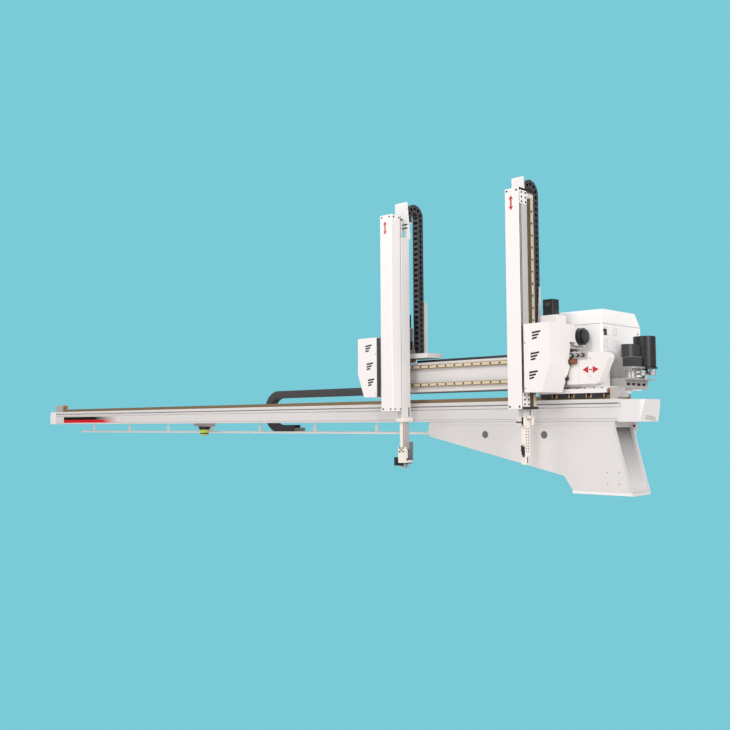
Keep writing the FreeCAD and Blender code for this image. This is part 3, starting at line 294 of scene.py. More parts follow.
LENS = surface("lamp_lens", (0.50, 0.60, 0.05), 0.12, scale=12, grain=0.05, coat=0.6)
STEEL = surface("machined", (0.55, 0.55, 0.55), 0.28, metallic=0.7, scale=200, stretch=(1, 6, 1))
CREAM = surface("cream_metal", (0.82, 0.76, 0.69), 0.42, metallic=0.05, scale=180)
PLATE = surface("light_grey_metal", (0.50, 0.475, 0.46), 0.40, metallic=0.3, scale=120)
GREY = surface("grey_metal", (0.22, 0.23, 0.24), 0.42, metallic=0.3, scale=120)
SCREW = surface("screw_black", (0.02, 0.02, 0.022), 0.32, metallic=0.7, scale=400)
RED = surface("red_print", (0.50, 0.012, 0.016), 0.45, edge=0)
PLUG = surface("blanking_plug", (0.125, 0.12, 0.118), 0.5, scale=260, bump=0.1)
SHADE = surface("dark_inside", (0.01, 0.01, 0.011), 0.7, edge=0)
GLASS = surface("dark_window", (0.015, 0.018, 0.022), 0.08, scale=8, coat=0.5, edge=0)
BRONZE = surface("seal_bronze", (0.36, 0.26, 0.14), 0.42, metallic=0.3)
BROWN = surface("buffer_brown", (0.19, 0.060, 0.020), 0.42, scale=260, bump=0.15)
BELT = surface("drive_belt", (0.50, 0.49, 0.485), 0.50, scale=300)


def paint(material, *names):
    """Give CAD nodes a material."""
    for name in names:
        data = nodes[name].data
        data.materials.clear()
        data.materials.append(material)


def paint_cad():
    """Materials of every CAD node that stays visible."""
    both = [(name, name + "_arm", name + "_head") for name in ARMS]
    paint(PEDESTAL, "pedestal")
    # Hangers and cabinet take the lighter white: painted light on their shaded faces.
    paint(LIT_WHITE, "chain_hangers", "control_cabinet")
    paint(WHITE, "left_end_cap", "carriage_plate",
          *[f"{arm}_top_bracket" for arm in ARMS], *[f"{head}_bracket" for _, _, head in both],
          *[f"{arm}_pulley_blocks" for arm in ARMS])
    # The right end cover takes the darker plastic: painted shade.
    paint(SHADED_SHELL, "right_end_cover")
    paint(PLASTIC, "kick_end_cover", *[f"{head}_cover" for _, _, head in both],
          *[f"{arm}_cover" for _, arm, _ in both])
    paint(ALLOY, "traverse_beam")
    paint(KICK_ALLOY, "kick_beam")
    paint(ARM_ALLOY, *[f"{arm}_beam" for _, arm, _ in both], *[f"{arm}_column" for arm in ARMS])
    paint(RAIL, "traverse_rails", "kick_rails", "drive_rack")
    paint(SHADED_RAIL_UP, *[f"{arm}_rail" for _, arm, _ in both])
    paint(BLOCK, "guide_blocks", *[f"{head}_blocks" for _, _, head in both])
    paint(BLACK, "air_reservoir", *[f"{head}_motors" for _, _, head in both],
          *[f"{arm}_end_plates" for _, arm, _ in both])
    paint(SERVO, "traverse_servo")
    paint(CHAIN, "cable_duct")
    paint(RUBBER, "stop_bumpers", "carriage_bumper")
    paint(PLATE, "end_stops", "motor_bracket", "beacon_base", "gripper_finger_front", "gripper_finger_rear")
    paint(STEEL, "traverse_gearbox")
    paint(CREAM, "main_wrist_flange", "sub_wrist_flange", "flip_bar", "gripper_body")
    paint(LENS, "beacon_lens")


def link(pitch, height, width, pins):
    """One chain link along +s from 0 to pitch: two side plates and two crossbars; columns are (s, h, w).
    With pins, each side plate also has a round mark."""
    thick = 0.16 * width
    end = 0.07 * height
    reach = pitch * 1.02
    steps = np.linspace(end, reach - end, 4)
    outline = [(0, end), *[(s, 0) for s in steps], (reach, end), (reach, height - end),
               *[(s, height) for s in steps[::-1]], (0, height - end)]
    parts = [extrude(outline, 2, low, high) for low, high in ((0, thick), (width - thick, width))]
    for low, high in ((CROSSBAR_LOW, CROSSBAR_HIGH), (height - CROSSBAR_HIGH, height - CROSSBAR_LOW)):
        parts.append(box((pitch * 0.30, low, thick), (pitch * 0.80, high, width - thick)))
    for side in (0.0, width) if pins else ():
        inward = PIN_MARK if side else -PIN_MARK
        parts.append(disc((pitch * 0.5, height / 2, 0), 2, height * 0.2, side - inward, side, 14))
    return parts


def run_of_links(length, pitch, height, width, pins=True):
    """Links in a row that fill a length exactly; columns are (s, h, w)."""
    count = max(1, round(length / pitch))
    step = length / count
    parts = []
    for index in range(count):
        for verts, faces in link(step, height, width, pins):
            moved = verts.copy()
            moved[:, 0] = np.clip(moved[:, 0] + index * step, 0, length)
            parts.append((moved, faces))
    return parts


def stretched(parts, rest, travel):
    """Maps links of the longest run back to its length at rest, so that they open evenly.
    A point at share t of the rest length moves by w = 3t^2 - 2t^3 of the travel."""
    share = np.linspace(0, 1, 2001)
    opened = share * rest + (3 * share ** 2 - 2 * share ** 3) * travel
    mapped = []
    for verts, faces in parts:
        moved = verts.copy()
        moved[:, 0] = np.interp(verts[:, 0], opened, share * rest)
        mapped.append((moved, faces))
    return mapped


def placed(parts, origin, along, across, sideways):
    """Carries (s, h, w) parts into the frame, on three direction vectors."""
    basis = np.array([along, across, sideways], float)
    return [(np.array(origin) + verts @ basis, faces) for verts, faces in parts]


def bend_links(centre, outer, height, axes, width_low, width, pitch, pins=True):
    """A straight run carried round half a circle: s turns from the first axis to the second and on to its far
    side, h goes inwards from the outer radius, and w runs along the third axis from width_low."""
    length = math.pi * (outer - height / 2)
    first, second, third = (np.array(axis, float) for axis in axes)
    parts = []
    for verts, faces in run_of_links(length, pitch, height, width, pins):
        angle = verts[:, :1] / length * math.pi
        radius = outer - verts[:, 1:2]
        ring = radius * (np.cos(angle) * first + np.sin(angle) * second)
        parts.append((np.array(centre) + ring + (width_low + verts[:, 2:]) * third, faces))
    return parts


def arm_chains():
    """The energy chain of each arm: its run beside the column, its bend, and its run to the head."""
    for name in ARMS:
        low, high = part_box(f"{name}_chain_bend")
        low, high = np.array(low), np.array(high)
        outer = (high[1] - low[1]) / 2
        height = (corner(f"{name}_chain_head_run", 1) - corner(f"{name}_chain_head_run", 0))[1]
        centre = np.array([0, (low[1] + high[1]) / 2, low[2]])
        width = high[0] - low[0]
        bend = bend_links(centre, outer, height, ((0, 1, 0), (0, 0, 1), (1, 0, 0)), low[0], width, LINK_PITCH)
        obj = make(f"{name}_chain_bend_links", bend, CHAIN, f"{name}_arm")
        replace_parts(obj, f"{name}_chain_bend")

        low, high = (np.array(value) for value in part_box(f"{name}_chain_head_run"))
        links = run_of_links(high[2] - low[2], LINK_PITCH, height, width)
        parts = placed(links, (low[0], high[1], low[2]), (0, 0, 1), (0, -1, 0), (1, 0, 0))
        obj = make(f"{name}_chain_head_links", parts, CHAIN, f"{name}_head")
        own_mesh(obj)
        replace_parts(obj, f"{name}_chain_head_run")

        low, high = (np.array(value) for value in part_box(f"{name}_chain_arm_run"))
        rest = high[2] - low[2]
        links = stretched(run_of_links(rest + STROKE, LINK_PITCH, height, width), rest, STROKE)
        parts = placed(links, (low[0], low[1], high[2]), (0, 0, -1), (0, 1, 0), (1, 0, 0))
        obj = make(f"{name}_chain_column_links", parts, CHAIN)
        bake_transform(obj)
        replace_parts(obj, f"{name}_chain_arm_run")


def traverse_chain():
    """The long chain behind the beam: upper run, bend, lower run and its fixed end."""
    low, high = (np.array(value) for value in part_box("traverse_chain_bend"))
    outer = (high[2] - low[2]) / 2
    run_low, run_high = (np.array(value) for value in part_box("traverse_chain_upper"))
    height = run_high[2] - run_low[2]
    width = high[1] - low[1]
    centre = np.array([high[0], 0, (low[2] + high[2]) / 2])
    bend = bend_links(centre, outer, height, ((0, 0, 1), (-1, 0, 0), (0, 1, 0)), low[1], width,
                      TRAVERSE_LINK_PITCH, False)
    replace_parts(make("traverse_bend_links", bend, CHAIN, "traverse_chain_loop"), "traverse_chain_bend")

    links = run_of_links(run_high[0] - run_low[0], TRAVERSE_LINK_PITCH, height, width, False)
    parts = placed(links, (run_low[0], run_low[1], run_high[2]), (1, 0, 0), (0, 0, -1), (0, 1, 0))
    obj = make("traverse_upper_links", parts, CHAIN, "carriage")
    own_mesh(obj)
    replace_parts(obj, "traverse_chain_upper")

    run_low, run_high = (np.array(value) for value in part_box("traverse_chain_lower"))
    rest = run_high[0] - run_low[0]
    links = run_of_links(rest + TRAVERSE_ROLL, TRAVERSE_LINK_PITCH, height, width, False)
    links = stretched(links, rest, TRAVERSE_ROLL)
    parts = placed(links, (run_high[0], run_low[1], run_low[2]), (-1, 0, 0), (0, 0, 1), (0, 1, 0))
    obj = make("traverse_lower_links", parts, CHAIN)
    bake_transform(obj)
    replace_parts(obj, "traverse_chain_lower")
    end = box((run_high[0] - 0.004, run_low[1] + 0.004, run_low[2] + 0.004),
              (run_high[0] + 0.05, run_high[1] - 0.004, run_low[2] + 0.03))
    make("traverse_chain_end", [end], GREY, "beam_frame")


def screws(name, places, axis, radius, height, body, material=SCREW):
    """Round screw heads with a hexagonal recess; places are on the seat, height is signed along axis."""
    heads = []
    sockets = []
    for place in places:
        level = place[axis]
        heads.append(disc(place, axis, radius, level, level + height, 20))
        sockets.append(disc(place, axis, radius * 0.55, level + height, level + height * 1.06, 6))
    make(name, heads, material, body)
    make(name + "_sockets", sockets, SHADE, body)


def double_arrow(centre_a, centre_z, width, length, y):
    """An upright bar with an arrow head at each end, printed on a face across Y."""
    half = width / 2
    stem = width * 0.18
    head = width * 0.75
    outline = [
        (centre_a, centre_z + length / 2), (centre_a - half, centre_z + length / 2 - head),
        (centre_a - stem, centre_z + length / 2 - head), (centre_a - stem, centre_z - length / 2 + head),
        (centre_a - half, centre_z - length / 2 + head), (centre_a, centre_z - length / 2),
        (centre_a + half, centre_z - length / 2 + head), (centre_a + stem, centre_z - length / 2 + head),
        (centre_a + stem, centre_z + length / 2 - head), (centre_a + half, centre_z + length / 2 - head),
    ]
    return extrude(outline, 1, y - SKIN / 2, y)


def arm_details():
    """Screws, side seam, printed arrow, belt, a dark strip of painted shade at the cover's open edge, and
    bracket slots of each telescopic arm.
    """
    for name, arm in ARMS.items():
        sign = arm["side"]
        body = f"{name}_arm"
        low, high = (np.array(value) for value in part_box(f"{name}_arm_cover"))
        front = low[1]
        levels = (high[2] - 0.012, low[2] + 0.012)
        places = [(x, front + COVER_SCREW_SINK, z) for x in (low[0] + 0.014, high[0] - 0.014) for z in levels]
        screws(f"{name}_cover_screws", places, 1, COVER_SCREW, -COVER_SCREW_HEIGHT, body)
        closed = low[0] if sign > 0 else high[0]
        places = [(closed + COVER_SCREW_SINK * sign, y, z) for y in (front + 0.020, high[1] - 0.010)
                  for z in levels]
        screws(f"{name}_side_screws", places, 0, COVER_SCREW, -COVER_SCREW_HEIGHT * sign, body)
        seam = box((closed - 0.0008, high[1] - 0.0010, low[2] + 0.001),
                   (closed + 0.0008, high[1] + 0.0030, high[2] - 0.001))
        make(f"{name}_side_seam", [seam], GREY, body)
        middle = (low[0] + high[0]) / 2 - 0.004
        arrow = double_arrow(middle, high[2] - 0.072, 0.026, 0.075, front + PRINT_BACK)
        make(f"{name}_arrow", [arrow], RED, body)

        blocks_low, blocks_high = (np.array(value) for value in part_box(f"{name}_pulley_blocks"))
        face = blocks_high[0] if sign > 0 else blocks_low[0]
        tall = 0.068
        places = [(face, y, z) for base in (blocks_low[2], blocks_high[2] - tall)
                  for y in (blocks_low[1] + 0.013, blocks_high[1] - 0.013)
                  for z in (base + 0.011, base + tall / 2, base + tall - 0.011)]
        screws(f"{name}_pulley_screws", places, 0, 0.0045, 0.003 * sign, body)
        belt = box((face - 0.003 * sign, blocks_low[1] + 0.0135, blocks_low[2] + tall),
                   (face - 0.001 * sign, blocks_high[1] - 0.0005, blocks_high[2] - tall))
        make(f"{name}_belt", [belt], BELT, body)
        open_side = high[0] if sign > 0 else low[0]
        # Painted shade: a dark strip where the gap at the cover's open edge lies in shadow.
        edge_shade = box((open_side - 0.0055 * sign, front + 0.0031, low[2] + 0.004),
                   (open_side - 0.0002 * sign, front + 0.009, high[2] - 0.004))
        make(f"{name}_edge_gap_shade", [edge_shade], SHADE, body)

        bracket_low = corner(f"{name}_top_bracket", 0)
        y = corner(f"{name}_column", 1)[1]
        centre = (corner(f"{name}_column", 0)[0] + corner(f"{name}_column", 1)[0]) / 2
        places = [(centre + dx, y + 0.005, bracket_low[2] + dz) for dx in (-0.009, 0.009)
                  for dz in (0.007, 0.02)]
        screws(f"{name}_bracket_screws", places, 1, 0.004, 0.003, f"{name}_column")
        if name == "sub":
            slots = [box((-1.200, y - 0.0006, z), (-1.146, y + 0.0004, z + 0.008)) for z in (1.437, 1.457)]
            make("bracket_slots", slots, SHADE, f"{name}_column")


def rail_faces():
    """Ground running faces of the rails, with a dark bore at each screw."""
    rows = [("kick_rails", 0, 1, "carriage")] + [(f"{arm}_arm_rail", 2, 0, f"{arm}_arm") for arm in ARMS]
    bore = 0.0058
    half = 0.0070
    for name, along, out, body in rows:
        low, high = (np.array(value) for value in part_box(name))
        across = 3 - along - out
        outward = -1 if out == 1 or name.startswith("sub") else 1
        face = high[out] if outward > 0 else low[out]
        middles = (low[across] + 0.010, high[across] - 0.010)
        count = int((high[along] - low[along] - 2 * bore) // RAIL_PITCH)
        first = (low[along] + high[along] - (count - 1) * RAIL_PITCH) / 2
        bands = []
        bores = []
        for middle in sorted(set(np.round(middles, 5))):
            start = np.zeros(3)
            end = np.zeros(3)
            start[[along, out, across]] = low[along] + 0.001, face - outward * 0.0002, middle - half
            end[[along, out, across]] = high[along] - 0.001, face + outward * 0.0003, middle + half
            bands.append(box(start, end))
            for index in range(count):
                place = np.zeros(3)
                place[[along, across]] = first + index * RAIL_PITCH, middle
                levels = sorted((face, face + outward * 0.0006))
                bores.append(disc(place, out, bore, levels[0], levels[1], 16))
        make(f"{name}_faces", bands, RAIL_FACE, body)
        make(f"{name}_bores", bores, SHADE, body)


def head_details():
    """Vents, cover screws, motor ribs and plug, and block seals of each head."""
    for name, arm in ARMS.items():
        sign = arm["side"]
        body = f"{name}_head"
        low, high = (np.array(value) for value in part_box(f"{name}_head_cover"))
        inner = low[0] if sign > 0 else high[0]
        dark = []
        for row, rise in enumerate((0.274, 0.173, 0.083)):
            middle = inner + sign * (0.067 - 0.0095 * row)
            for step in range(3):
                z = low[2] + rise + (1 - step) * 0.0145
                half = 0.0245 - 0.0055 * step
                shift = (1 - step) * 0.005
                slot = [(middle - half + shift, z - 0.0070), (middle + half + shift, z - 0.0020),
                        (middle + half + shift, z + 0.0070), (middle - half + shift, z + 0.0020)]
                dark.append(extrude(slot, 1, low[1] - 0.0003, low[1] + 0.0012))
        make(f"{name}_vents", dark, SHADE, body)
        places = [(inner + sign * 0.006, low[1] + 0.0004, low[2] + rise) for rise in (0.020, 0.240)]
        screws(f"{name}_head_screws", places, 1, 0.0030, -0.0010, body)

        x = arm["middle"] + sign * MOTOR_ASIDE
        y = MOTOR_Y
        base = high[2]
        ribs = [box((x - MOTOR_HALF, y - MOTOR_HALF, base + z),
                    (x + MOTOR_HALF, y + MOTOR_HALF, base + z + 0.004)) for z in (0.012, 0.092)]
        make(f"{name}_motor_ribs", ribs, BLACK, body)
        plug = [box((x - 0.012, y - 0.0305, base + 0.098), (x + 0.012, y - 0.024, base + 0.118)),
                disc((x, y, 0), 2, 0.018, base + 0.1325, base + 0.1332, 28)]
        make(f"{name}_motor_plug", plug, CHAIN, body)

        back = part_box(f"{name}_head_blocks")[1][1]
        near = 0.0108
        far = 0.0222
        seals = []
        for z in (0.557, 0.657):
            for aside in (0.063, 0.134):
                x = arm["middle"] + sign * aside
                for bottom, top in ((z + near, z + far), (z - far, z - near)):
                    seals.append(box((x, back - 0.0265, bottom), (x + sign * 0.004, back - 0.006, top)))
        make(f"{name}_block_seals", seals, BRONZE, body)


def near_head_parts():
    """The raised pocket round the near lift motor, and the light plate beside the chain."""
    low, high = (np.array(value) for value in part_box("main_head_cover"))
    x = low[0]
    pocket = box((x + 0.001, -0.150, high[2] - 0.002), (x + 0.092, -0.064, high[2] + 0.051))
    make("main_motor_pocket", [pocket], PLASTIC, "main_head")
    low, high = (np.array(value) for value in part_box("main_chain_head_run"))
    outline = [(high[0] + 0.008, low[2]), (high[0] + 0.033, low[2]), (high[0] + 0.031, low[2] + 0.300),
               (high[0] + 0.024, low[2] + 0.300)]
    make("main_chain_plate", [extrude(outline, 1, low[1] + 0.001, low[1] + 0.004)], WHITE, "main_head")


def kick_flange_face():
    """The near kick motor's flange: a square face with a round opening, and the strip on its front.
    The opening's rim is c + r (cos t, sin t).
    The square's is c + s (cos t, sin t) / max(|cos t|, |sin t|)."""
    turn = np.linspace(0, 2 * math.pi, 49)[:-1]
    ring = np.column_stack([np.cos(turn), np.sin(turn)])
    centre = np.array([-0.019, 0.768])
    opening = centre + 0.0424 * ring
    square = centre + 0.0462 * ring / np.abs(ring).max(axis=1, keepdims=True)
    count = len(ring)
    verts = np.zeros((4 * count, 3))
    verts[:, 0] = np.repeat([-0.1450, -0.1440], 2 * count)
    verts[:, 1:] = np.concatenate([opening, square, opening, square])
    steps = [(index, (index + 1) % count) for index in range(count)]
    faces = [(a, b, count + b, count + a) for a, b in steps]
    faces += [(2 * count + a, 3 * count + a, 3 * count + b, 2 * count + b) for a, b in steps]
    faces += [(count + a, count + b, 3 * count + b, 3 * count + a) for a, b in steps]
    faces += [(a, 2 * count + a, 2 * count + b, b) for a, b in steps]
    front = box((-0.1700, -0.0658, 0.7214), (-0.1440, -0.0650, 0.8146))
    make("kick_flange_face", [(verts, faces), front], PLASTIC, "main_head")


def far_head_parts():
    """Valves, their plate and a bumper behind the far arm, the chain's plate in a lighter white that is
    painted light, and dark sheets of painted shade beside the cover.
    """
    run = corner("sub_chain_head_run", 0)
    x = run[0] - 0.004
    base = run[2]
    valves = [box((x - 0.034, -0.100, base + 0.030), (x - 0.002, -0.060, base + 0.075)),
              box((x - 0.032, -0.096, base + 0.152), (x - 0.005, -0.064, base + 0.226))]
    make("far_valves", valves, BLACK, "sub_head")
    outline = [(x - 0.030, base - 0.001), (x + 0.020, base - 0.001), (x + 0.016, base + 0.012),
               (x + 0.002, base + 0.060), (x + 0.002, base + 0.150), (x - 0.030, base + 0.150)]
    make("far_valve_plate", [extrude(outline, 1, -0.0580, -0.0562)], PLATE, "sub_head")
    buffer = disc((0, -0.080, 0.697), 0, 0.011, x - 0.030, x + 0.032, 20)
    make("far_bumper", [buffer], BROWN, "sub_head")

    low, high = (np.array(value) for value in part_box("sub_head_cover"))
    front = low[1] + 0.0015
    # Painted shade: dark sheets in the gap beside the cover's inner side, black at the top.
    gap_shade = box((high[0] + 0.0010, front - 0.0004, low[2] + 0.012),
               (high[0] + 0.0130, front + 0.0002, high[2] - 0.048))
    make("far_head_gap_shade", [gap_shade], SERVO, "sub_head")
    # The chain's plate is in the lighter white: painted light where it lies in shade behind the chain.
    face = box((run[0] + 0.0015, -0.0094, base + 0.028), (run[0] + 0.0325, -0.0085, base + 0.2995))
    make("far_chain_plate", [face], LIT_WHITE, "sub_head")
    side_shade = box((high[0] + 0.0004, front, low[2] + 0.008), (high[0] + 0.0235, front + 0.0012, high[2] - 0.004))
    make("far_head_side_shade", [side_shade], BLACK, "sub_head")


def carriage_fittings():
    """Seals at both ends of each guide block, screws of the carriage plate, and slots of the cable duct."""
    low, high = (np.array(value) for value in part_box("guide_blocks"))
    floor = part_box("carriage_plate")[0][2]
    columns = 4
    length = 0.075
    pitch = (high[0] - low[0] - length) / (columns - 1)
    seals = []
    for index in range(columns):
        x = low[0] + index * pitch
        for y in (low[1], high[1] - 0.044):
            for end in (x + 0.0002, x + length - 0.0062):
                for near, far in ((-0.0004, 0.0116), (0.0324, 0.0444)):
                    seals.append(box((end, y + near, low[2] + 0.002),
                                     (end + 0.006, y + far, high[2] - 0.004)))
    make("carriage_seals", seals, BRONZE, "carriage")
    places = [(low[0] + index * pitch + dx, low[1] + 0.008, floor + 0.022) for index in range(columns)
              for dx in (0.016, 0.059)]
    screws("carriage_screws", places, 2, 0.005, 0.0045, "carriage")

    low, high = (np.array(value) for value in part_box("cable_duct"))
    spacing = 0.016
    slots = []
    for index in range(int((high[0] - low[0]) / spacing)):
        x = low[0] + 0.006 + index * spacing
        slots.append(box((x, low[1] - 0.0002, low[2] + 0.002), (x + 0.007, low[1] + 0.002, high[2] - 0.004)))
    make("duct_slots", slots, SHADE, "carriage")


def cabinet_details():
    """Frames and pane on the cabinet's end, the line under its roof, and its screws."""
    low, high = (np.array(value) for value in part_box("control_cabinet"))
    right = high[0]
    line = 0.0016
    wide = 0.0316
    tall = 0.033
    edges = ((-0.015, 0, line, tall), (0.015, 0, line, tall),
             (0, tall / 2, wide, line), (0, -tall / 2, wide, line))
    frames = []
    for y, z in ((0.177, 0.795), (0.080, 0.734), (0.177, 0.736)):
        for dy, dz, across, up in edges:
            frames.append(box((right - 0.0004, y + dy - across / 2, z + dz - up / 2),
                              (right + 0.0008, y + dy + across / 2, z + dz + up / 2)))
    make("cabinet_frames", frames, PLATE, "carriage")
    pane = box((right - 0.0004, 0.065, 0.776), (right + 0.0008, 0.094, 0.808))
    make("cabinet_pane", [pane], GLASS, "carriage")
    bottom = low[2] + 0.327 - 0.0012
    top = low[2] + 0.327 + 0.0008
    lines = [box((right - 0.002, low[1] + 0.006, bottom), (right + 0.0004, high[1] - 0.006, top)),
             box((low[0] + 0.006, low[1] - 0.0004, bottom), (right - 0.006, low[1] + 0.002, top))]
    make("cabinet_eave", lines, GREY, "carriage")
    places = [(right, y, z) for y in (low[1] + 0.015, 0.41) for z in (0.56, 0.61, 0.80)]
    screws("cabinet_screws", places, 0, 0.004, 0.002, "carriage")


def drive_details():
    """The second beam's sill, and the joint, fittings and rim of servo, gearbox and reservoir."""
    sill = box((-0.240, -0.0665, 0.500), (-0.020, -0.0635, 0.5178))
    make("kick_beam_sill", [sill], WHITE, "carriage")
    servo_low, servo_high = (np.array(value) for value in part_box("traverse_servo"))
    split = servo_low[2] + 0.048
    collar = box((servo_low[0] + 0.0135, servo_low[1] - 0.0014, split - 0.004),
                 (servo_high[0] + 0.0006, servo_high[1] - 0.013, split - 0.001))
    make("servo_joint", [collar], GREY, "carriage")
    gear_low, gear_high = (np.array(value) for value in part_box("traverse_gearbox"))
    fittings = [box((gear_low[0] + 0.010, gear_low[1] - 0.006, gear_high[2] - 0.010),
                    (gear_high[0] + 0.026, gear_high[1] - 0.010, gear_high[2] - 0.001))]
    for x, y, z, radius in ((0.118, 0.118, 0.584, 0.013), (0.132, 0.190, 0.588, 0.016),
                            (0.112, 0.160, 0.566, 0.010)):
        fittings.append(disc((x, y, 0), 2, radius, z - 0.016, z + 0.010, 24))
        fittings.append(disc((x, y, 0), 2, radius * 1.25, z + 0.002, z + 0.008, 6))
        fittings.append(disc((0, y, z - 0.006), 0, radius * 0.5, x - 0.05, x, 18))
    make("drive_fittings", fittings, STEEL, "carriage")
    low, high = (np.array(value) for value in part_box("air_reservoir"))
    middle = (low + high) / 2
    radius = (high[0] - low[0]) / 2
    profile = [(radius * 0.6, -0.0004), (radius * 0.80, -0.0004),
               (radius * 0.80, 0.0006), (radius * 0.6, 0.0006)]
    make("reservoir_rim", [lathe((middle[0], middle[1], high[2]), 2, profile)], GREY, "carriage")


def kick_cover_details():
    """Arrow heads and bar, screws, plugs on their seat, bumper and seam of the second beam's end cover."""
    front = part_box("kick_end_cover")[0][1]
    outlines = [
        [(-0.078, 0.597), (-0.046, 0.580), (-0.046, 0.614)],
        [(0.010, 0.597), (-0.022, 0.580), (-0.022, 0.614)],
        [(-0.042, 0.594), (-0.026, 0.594), (-0.026, 0.600), (-0.042, 0.600)],
    ]
    arrows = [extrude(outline, 1, front - SKIN / 2, front + PRINT_BACK) for outline in outlines]
    make("cover_arrows", arrows, RED, "carriage")
    places = [(-0.034, front + 0.0004, z) for z in (0.565, 0.652)]
    screws("kick_cover_screws", places, 1, 0.0026, -0.001, "carriage")
    seat = box((-0.147, front - 0.006, 0.650), (-0.046, front + 0.001, 0.684))
    make("plug_seat", [seat], PLATE, "carriage")
    plugs = []
    tips = []
    for x, radius in ((-0.132, 0.012), (-0.099, 0.009), (-0.070, 0.010)):
        plugs.append(disc((x, 0, 0.668), 1, radius, front - 0.017, front - 0.005, 20))
        tips.append(disc((x, 0, 0.668), 1, radius * 0.55, front - 0.022, front - 0.0165, 16))
    make("cover_plugs", plugs, BLACK, "carriage")
    make("cover_plug_tips", tips, STEEL, "carriage")
    y = front - 0.014
    make("kick_bumper", [disc((0, y, 0.638), 0, 0.0135, -0.132, -0.104, 24)], BROWN, "carriage")
    make("kick_bumper_seat", [disc((0, y, 0.638), 0, 0.0150, -0.163, -0.131, 24),
                              disc((0, y, 0.557), 0, 0.009, -0.170, -0.150, 24)], BLACK, "carriage")
    seam = box((-0.098, front - 0.0004, 0.535), (-0.0968, front + 0.0004, 0.640))
    make("cover_seam", [seam], PLATE, "carriage")


def beam_details():
    """Printed stripes that fade out, their seam, and dark lines along the beam's front: painted shade in its
    groove and under its lip, and a line near its lower edge.
    """
    low = np.array(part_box("traverse_beam")[0])
    front = low[1]
    start = low[0] + 0.140
    solid = start + 0.509
    end = start + 0.880
    black = fading("stripe_black", (0.004, 0.004, 0.005), solid, end)
    red = fading("stripe_red", (0.62, 0.008, 0.015), solid + 0.12, end)
    dark = box((start, front - SKIN / 2, 0.3855), (end, front + PRINT_BACK, 0.4100))
    make("stripe_dark", [dark], black, "beam_frame")
    light = box((start, front - SKIN / 2, 0.3625), (end, front + PRINT_BACK, 0.3855))
    make("stripe_light", [light], red, "beam_frame")
    seam = end + 0.028
    strip = box((seam, front - SKIN / 2, 0.364), (seam + 0.004, front + PRINT_BACK, 0.408))
    make("stripe_seam", [strip], PLATE, "beam_frame")
    # Painted shade: dark lines in the groove and under the lip, and one near the lower edge.
    lines = []
    for y, z, tall in ((front + 0.0078, 0.4345, 0.0042), (front - 0.0002, 0.3615, 0.0016),
                       (front + 0.0050, 0.4168, 0.0014)):
        lines.append(box((low[0] + 0.002, y, z - tall / 2), (0.09, y + 0.0006, z + tall / 2)))
    make("beam_shade_lines", lines, GREY, "beam_frame")


def hanger_details():
    """Faces on the chain hangers, and the sleeve on the rod that joins them, both in the lighter white that
    is painted light.
    """
    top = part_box("traverse_beam")[0][2]
    low, high = (np.array(value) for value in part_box("chain_hangers"))
    sleeve = disc((0, low[1] + ROD_BACK, low[2] + ROD_RISE), 0, ROD_SLEEVE,
                  low[0] + 0.001, high[0] - 0.001, 16)
    posts = []
    for index in range(HANGERS):
        x = HANGER_FIRST + index * HANGER_SPACING
        posts.append(box((x - HANGER_HALF, low[1] - 0.0006, low[2]), (x + HANGER_HALF, low[1] + 0.0085, top)))
    make("hanger_faces", posts, LIT_WHITE, "beam_frame")
    make("tray_rod_sleeve", [sleeve], LIT_WHITE, "beam_frame")


def lamp_details():
    """The signal lamp's dome, a quarter ellipse turned about Z, and the dark band, cap and neck above it."""
    low, high = (np.array(value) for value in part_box("beacon_lens"))
    middle = (low + high) / 2
    tall = high[2] - low[2]
    radius = (high[0] - low[0]) / 2 * 0.92
    turn = np.linspace(0, math.pi / 2 * 0.98, 18)
    profile = np.column_stack([radius * np.cos(turn), low[2] + tall * (1 - np.sin(turn))])
    dome = lathe((middle[0], middle[1], 0), 2, profile, 48)
    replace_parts(make("lamp_dome", [dome], LENS, "beam_frame"), "beacon_lens")
    waist = [(radius * 0.60, 0.42), (radius * 0.835, 0.42), (radius * 0.745, 0.29), (radius * 0.50, 0.29)]
    band = lathe((middle[0], middle[1], low[2]), 2, [(wide, share * tall) for wide, share in waist], 48)
    base = corner("beacon_base", 0)[2]
    cap = disc((middle[0], middle[1], 0), 2, 0.0424, base - 0.0002, base + 0.0138, 48)
    neck = disc((middle[0], middle[1], 0), 2, radius * 1.02, base - 0.009, base, 48)
    make("lamp_band", [band, cap, neck], BLACK, "beam_frame")


